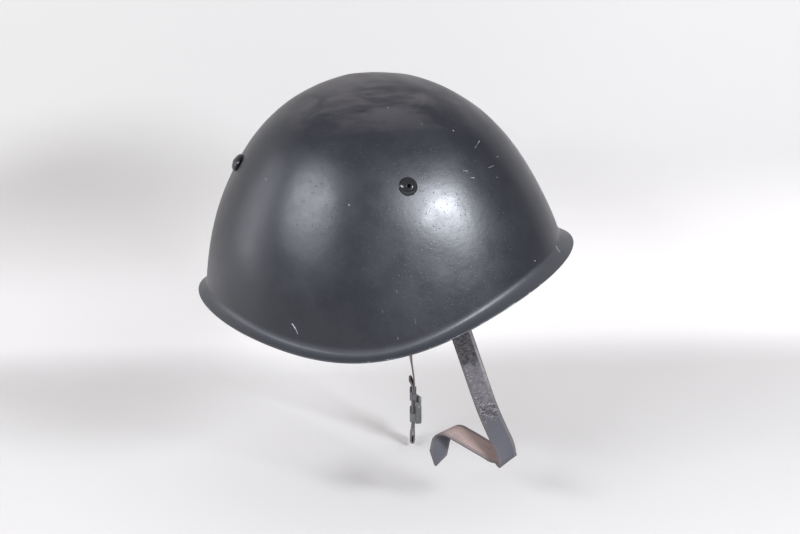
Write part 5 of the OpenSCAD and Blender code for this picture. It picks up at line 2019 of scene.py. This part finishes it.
@dataclass
class Buckle:
    """Keeper, pressed buckle frame, pin and hinged clamp plate on the left strap."""

    strap: LeftStrap
    level: float = 113.0
    height: float = 19.3
    ear_depth: float = 5.0
    ear_slope: float = 3.4
    sheet: float = 0.9
    cheek: float = 1.4
    pin_d: float = 2.0
    pin_gap: float = 0.08
    move_gap: float = 0.3
    keeper_gap: float = 0.6
    keeper_h: float = 5.4
    keeper_t: float = 0.9

    @property
    def front(self) -> float:
        """Place of the frame's plate in front of the strap."""
        return self.strap.end.thickness / 2 + self.move_gap

    @property
    def back(self) -> float:
        """Place of the bar behind the doubled strap."""
        return -self.strap.end.ply - self.strap.end.thickness / 2 - self.move_gap

    @property
    def side(self) -> float:
        """Half of the room across the strap."""
        return self.strap.end.width / 2 + self.move_gap

    @property
    def knuckle(self) -> float:
        """Outer radius of the clamp's knuckle round the pin."""
        return self.pin_d / 2 + self.pin_gap + 0.8

    @property
    def pin(self) -> tuple[float, float]:
        """Place of the pin: out of the strap's front, and up."""
        return self.front + self.sheet + self.knuckle + 0.2, -self.level - 4.7

    def sleeve(self, skin: Skin, wall: float, low: float, high: float, corner: float) -> Skin:
        """Band round the doubled strap: a ring between two rounded rectangles.

        Args:
            skin: what it is added to.
            wall: thickness of the band.
            low: height of its lower edge.
            high: height of its upper edge.
            corner: radius of its inner corners.

        Returns:
            The skin.
        """
        def box(grow: float, radius: float) -> np.ndarray:
            """Rounded rectangle round the strap, grown by a wall."""
            back, front, side = self.back - grow, self.front + grow, self.side + grow
            return rounded([(back, -side), (front, -side), (front, side), (back, side)], radius, 5)
        outer = box(wall, corner + wall * 0.6)
        return plate(skin, self.strap.stand(), outer, low, high, 0.22, box(0, corner))

    def build_keeper(self) -> None:
        """Lays the leather keeper."""
        low = -self.level + self.keeper_gap
        skin = self.sleeve(Skin("keeper_leather"), self.keeper_t, low, low + self.keeper_h, 0.5)
        dress(skin.build(50), ["keeper_grain"], "keeper_loop", ["keeper"])

    def build_frame(self) -> None:
        """Lays the front plate with its window, the two ears and the bar behind."""
        half = self.side + self.cheek
        pin_x, pin_z = self.pin
        skin = Skin("buckle_frame_sheet")
        low, high = -self.level - self.height, -self.level
        outer = rounded([(-half, low), (half, low), (half, high), (-half, high)], 0.6, 5)
        reach, sill, head = self.side - 1, pin_z - 2.6, pin_z + 2.6
        window = rounded([(-reach, sill), (reach, sill), (reach, head), (-reach, head)], 0.8, 5)
        plate(skin, self.strap.front_stand(self.front, 0), outer, 0, self.sheet, 0.18, window)
        ear = [(0.3, -0.2), (self.ear_depth - 0.4, -self.ear_slope), (self.ear_depth, -self.ear_slope - 0.8),
               (self.ear_depth, 1 - self.height), (self.ear_depth - 1, -self.height), (0.3, -self.height)]
        for y in (-half, half - self.sheet):
            upright = self.strap.side_stand(self.front, -self.level, y)
            plate(skin, upright, rounded(ear, 0.7, 5), -self.sheet, 0, 0.18)
        self.sleeve(skin, self.sheet, -self.level - 18, -self.level - 11, 0.35)
        dress(skin.build(50), ["buckle_steel"], "buckle", ["buckle_frame"])
        pin = self.strap.side_stand(pin_x, pin_z)
        reach, r = half + 0.4, self.pin_d / 2
        profile = [(0, -reach), (r - 0.25, -reach), (r, -reach + 0.25), (r, reach - 0.25), (r - 0.25, reach),
                   (0, reach)]
        rod = turned(Skin("clamp_pin_rod"), pin, profile, 24)
        dress(rod.build(), ["plain_steel"], "buckle", ["clamp_pin"])

    def build_clamp(self) -> None:
        """Lays the clamp: a rolled knuckle, a nose towards the strap and a thumb plate."""
        half = self.side + self.cheek - self.sheet - self.move_gap
        pin_x, pin_z = self.pin
        skin = Skin("clamp_plate_sheet")
        level = self.strap.side_stand(pin_x, pin_z)
        bore = circle(self.pin_d / 2 + self.pin_gap, 32)
        plate(skin, level, circle(self.knuckle, 32), -half, half, 0.15, bore)
        nose = pin_x - self.strap.end.thickness / 2 - 0.35
        inner = self.pin_d / 2 + self.pin_gap + 0.1
        plate(skin, level, rounded([(-nose, -0.45), (-inner, -0.6), (-inner, 0.6), (-nose, 0.45)], 0.2),
              -half + 1.8, half - 1.8, 0.15)
        face = self.strap.front_stand(pin_x + self.knuckle - 1, pin_z)
        low = 5.5 - self.height
        thumb = rounded([(-half, low), (half, low), (half, 0.2), (-half, 0.2)], 1.6, 6)
        plate(skin, face, thumb, 0, 1, 0.2)
        dress(skin.build(50), ["buckle_steel"], "clamp", ["clamp_plate"])

    def build(self) -> None:
        """Lays the keeper, the frame with its pin, and the clamp."""
        self.build_keeper()
        self.build_frame()
        self.build_clamp()


CHIPS = (
    Stroke((-57.0, -92.6, 15.6), (-55.2, -94.2, 12.9), 0.75),
    Stroke((-55.2, -94.2, 12.9), (-53.6, -95.6, 8.8), 0.5, 1.1),
    Stroke((-44.6, -108.1, -5.1), (-42.9, -108.6, -5.2), 0.55, 1.1),
    Stroke((-72.9, -47.3, 112.5), (-72.7, -47.6, 112.1), 0.55),
    Stroke((-14.8, -82.0, 101.8), (-14.2, -82.2, 101.0), 0.7, 0.45),
    Stroke((18.0, -39.9, 162.5), (18.3, -40.2, 162.3), 0.5, 0.6),
    Stroke((41.9, -47.0, 151.1), (42.1, -47.2, 150.9), 0.5, 0.6),
    Stroke((65.5, -43.5, 144.6), (65.8, -43.9, 144.3), 0.55, 0.9),
    Stroke((85.5, -39.5, 134.6), (81.5, -45.6, 131.3), 0.26, 0.8),
    Stroke((85.4, -39.4, 134.8), (85.6, -39.8, 134.4), 0.55, 0.9),
    Stroke((71.5, -60.4, 118.4), (74.5, -58.6, 117.3), 0.3, 0.6),
    Stroke((76.8, -60.9, 113.2), (79.4, -59.9, 112.6), 0.35, 0.8),
    Stroke((91.5, -50.2, 117.2), (95.3, -46.0, 117.4), 0.3, 0.5),
    Stroke((98.6, -39.6, 122.0), (100.0, -37.8, 122.0), 0.45, 0.6),
    Stroke((96.8, -50.8, 109.9), (98.0, -49.9, 109.6), 0.35, 0.5),
    Stroke((125.2, -58.6, 46.8), (125.6, -58.2, 46.4), 0.6, 0.7),
    Stroke((144.9, -33.0, 48.9), (147.6, -36.2, 45.2), 0.8, 0.9),
    Stroke((41.9, -112.2, -1.4), (54.0, -109.5, 2.3), 1.3, 0.6),
    Stroke((60.3, -107.7, 4.4), (66.2, -106.0, 6.5), 1.6, 1.1),
    Stroke((66.2, -106.0, 6.5), (73.8, -103.4, 9.4), 1.6, 0.9),
    Stroke((18.2, -99.6, 41.2), (18.8, -99.8, 39.2), 0.3, 0.35),
    Stroke((7.2, -103.0, 27.4), (8.4, -103.2, 25.8), 0.3, 0.35),
    Stroke((31.2, -102.2, 20.0), (31.9, -102.6, 15.6), 0.25, 0.35),
    Stroke((18.2, -105.2, 7.4), (18.9, -105.6, 5.2), 0.3, 0.4),
)


@dataclass(frozen=True)
class CoveWhite(Finish):
    """Pale matt paper of the cove, with painted light: a tone on each side, a lighter one in its bend and
    another below.

    It is clear from behind.
    """

    specular: float = 0.1
    # Tones of painted light: the wall's right side, its bend, painted lighter where it would fall into shade,
    # and the floor.
    right_painted_light: tuple = rgb(197, 194, 191)
    bend_painted_light: tuple = rgb(232, 228, 225)
    floor_painted_light: tuple = rgb(209, 206, 203)

    def lay(self, bench: Bench) -> None:
        """Lays the painted light of the wall, the bend and the floor, and clears the back.

        Args:
            bench: of the material.
        """
        axis = bench.split(bench.where())
        # Painted light: the wall's tone shifts from left to right, the bend is painted lighter and the floor
        # has a tone of its own.
        wall = bench.blend(bench.band(axis[0], -0.35, 0.35), self.colour, self.right_painted_light)
        low = bench.blend(bench.band(axis[2], -0.154, -0.135), self.floor_painted_light, self.bend_painted_light)
        bench.feed("Base Color", bench.blend(bench.band(axis[2], -0.11, 0.02), low, wall))
        clear = bench.node("ShaderNodeBsdfTransparent").outputs[0]
        behind = bench.node("ShaderNodeNewGeometry").outputs["Backfacing"]
        sheet = bench.node("ShaderNodeMixShader", {0: behind, 1: bench.shader.outputs[0], 2: clear})
        bench.tree.links.new(sheet.outputs[0], bench.tree.nodes["Material Output"].inputs["Surface"])


@dataclass
class Studio:
    """Camera of the photograph, soft lights, and a pale cove behind the helmet."""

    place: tuple = (-156.2, -1872.0, 654.9)
    azimuth: float = -5.70
    elevation: float = 18.5
    lens: float = 117.0
    floor: float = -154.0
    wall: float = 330.0

    @staticmethod
    def aim(thing: bpy.types.Object, axes: tuple, place: np.ndarray) -> None:
        """Turns and places an object.

        Args:
            thing: the object.
            axes: directions of its X, Y and Z.
            place: of its origin, in metres.
        """
        matrix = Matrix.Identity(4)
        for column, axis in enumerate((*axes, place)):
            for row in range(3):
                matrix[row][column] = float(axis[row])
        thing.matrix_world = matrix

    def camera(self) -> None:
        """Makes the camera, with its back turned to its azimuth and elevation."""
        a, e = np.radians(self.azimuth), np.radians(self.elevation)
        back = np.array([np.sin(a) * np.cos(e), -np.cos(a) * np.cos(e), np.sin(e)])
        right = np.array([np.cos(a), np.sin(a), 0])
        up = np.cross(back, right)
        data = bpy.data.cameras.new("camera")
        data.lens, data.sensor_width = self.lens, 36.0
        data.clip_start, data.clip_end = 0.05, 50.0
        camera = show("camera", data)
        self.aim(camera, (right, up, back), np.array(self.place) * MM)
        bpy.context.scene.camera = camera

    def lamp(self, name: str, toward: tuple, reach: float, size: tuple, power: float) -> None:
        """Adds a soft light that faces the helmet.

        Args:
            name: of the light.
            toward: direction from the helmet to it.
            reach: how far off it stands, in metres.
            size: width and height, in metres.
            power: in watts.
        """
        data = bpy.data.lights.new(name, "AREA")
        data.color = (0.885, 0.92, 1.0)
        data.shape, data.size, data.size_y, data.energy = "RECTANGLE", size[0], size[1], power
        z = unit(np.array(toward, float))
        x = unit(np.cross([0, 0, 1.0], z))
        self.aim(show(name, data), (x, np.cross(z, x), z), np.array([0.02, 0.0, 0.08]) + z * reach)

    @staticmethod
    def sheet(name: str, points: np.ndarray, faces: list) -> None:
        """Adds a smooth sheet of the cove's paper to the stage.

        Args:
            name: of the sheet.
            points: in millimetres, by 3.
            faces: lists of point numbers.
        """
        mesh = bpy.data.meshes.new(name)
        mesh.from_pydata(points * MM, [], faces)
        mesh.polygons.foreach_set("use_smooth", np.ones(len(faces), bool))
        mesh.materials.append(COATS["cove_white"])
        show(name, mesh)

    def cove(self) -> None:
        """Lays the floor and the wall as one sheet, joined by a quarter circle.

        The sheet is clear from behind and from below, so that the helmet shows from there.
        """
        radius = 90.0
        turn = np.radians(np.linspace(0, 90, 13))
        far = STAGE_REACH
        y = np.concatenate([[-far], self.wall - radius + radius * np.sin(turn), [self.wall]])
        z = np.concatenate([[self.floor], self.floor + radius * (1 - np.cos(turn)), [self.floor + far]])
        points = np.stack(np.broadcast_arrays(np.linspace(-far, far, 3), y[:, None], z[:, None]), -1)
        rows, columns = points.shape[:2]
        i, j = (g.ravel() for g in np.meshgrid(np.arange(rows - 1), np.arange(columns - 1), indexing="ij"))
        first = i * columns + j
        quads = np.stack([first, first + 1, first + columns + 1, first + columns], -1)
        self.sheet("cove", points.reshape(-1, 3), quads.tolist())
        beyond = [(-far, self.wall), (far, self.wall), (far, far), (-far, far)]
        self.sheet("floor_beyond", np.insert(np.array(beyond), 2, self.floor, axis=1), [[0, 1, 2, 3]])

    def build(self) -> None:
        """Sets up the camera, the cove, the two soft boxes and the room's fill."""
        self.camera()
        self.cove()
        self.lamp("soft_left", (-0.59, -0.665, 0.455), 1.5, (0.9, 0.22), 15.0)
        self.lamp("soft_right", (0.562, -0.746, 0.372), 1.5, (0.5, 0.2), 23.0)
        self.lamp("fill_left", (-0.97, 0.08, 0.22), 1.5, (0.9, 0.9), 10.0)
        world = bpy.data.worlds.new("room")
        world.use_nodes = True
        background = world.node_tree.nodes["Background"]
        background.inputs[0].default_value = (0.97, 0.98, 1.0, 1.0)
        background.inputs[1].default_value = 0.56
        bpy.context.scene.world = world
        bpy.context.scene.view_settings.view_transform = "Standard"


def corners(box: tuple) -> list[list[float]]:
    """Box as plain lists of numbers."""
    return [[float(v) for v in corner] for corner in box]


def main() -> None:
    """Builds the studio and every piece of the helmet, in order."""
    logging.basicConfig(level=logging.INFO, format="%(name)s: %(message)s")
    shell = Shell()
    shop = Workshop()
    for finish in (CoveWhite("cove_white", rgb(195, 192, 188), 0.9), *finishes(shell.settle(CHIPS))):
        finish.make(shop)
    Studio().build()
    shell.build()
    VentRivets(shell).build()
    hoop = Hoop(shell)
    hoop.build()
    Lining(hoop).build()
    right = StrapEnd(hoop, Side.RIGHT, 9.0)
    left = StrapEnd(hoop, Side.LEFT, -5.0)
    for end in (right, left):
        end.loop()
        end.rivet()
    RightStrap(right).build()
    left_strap = LeftStrap(left)
    left_strap.build()
    Buckle(left_strap).build()


if __name__ == "__main__":
    main()
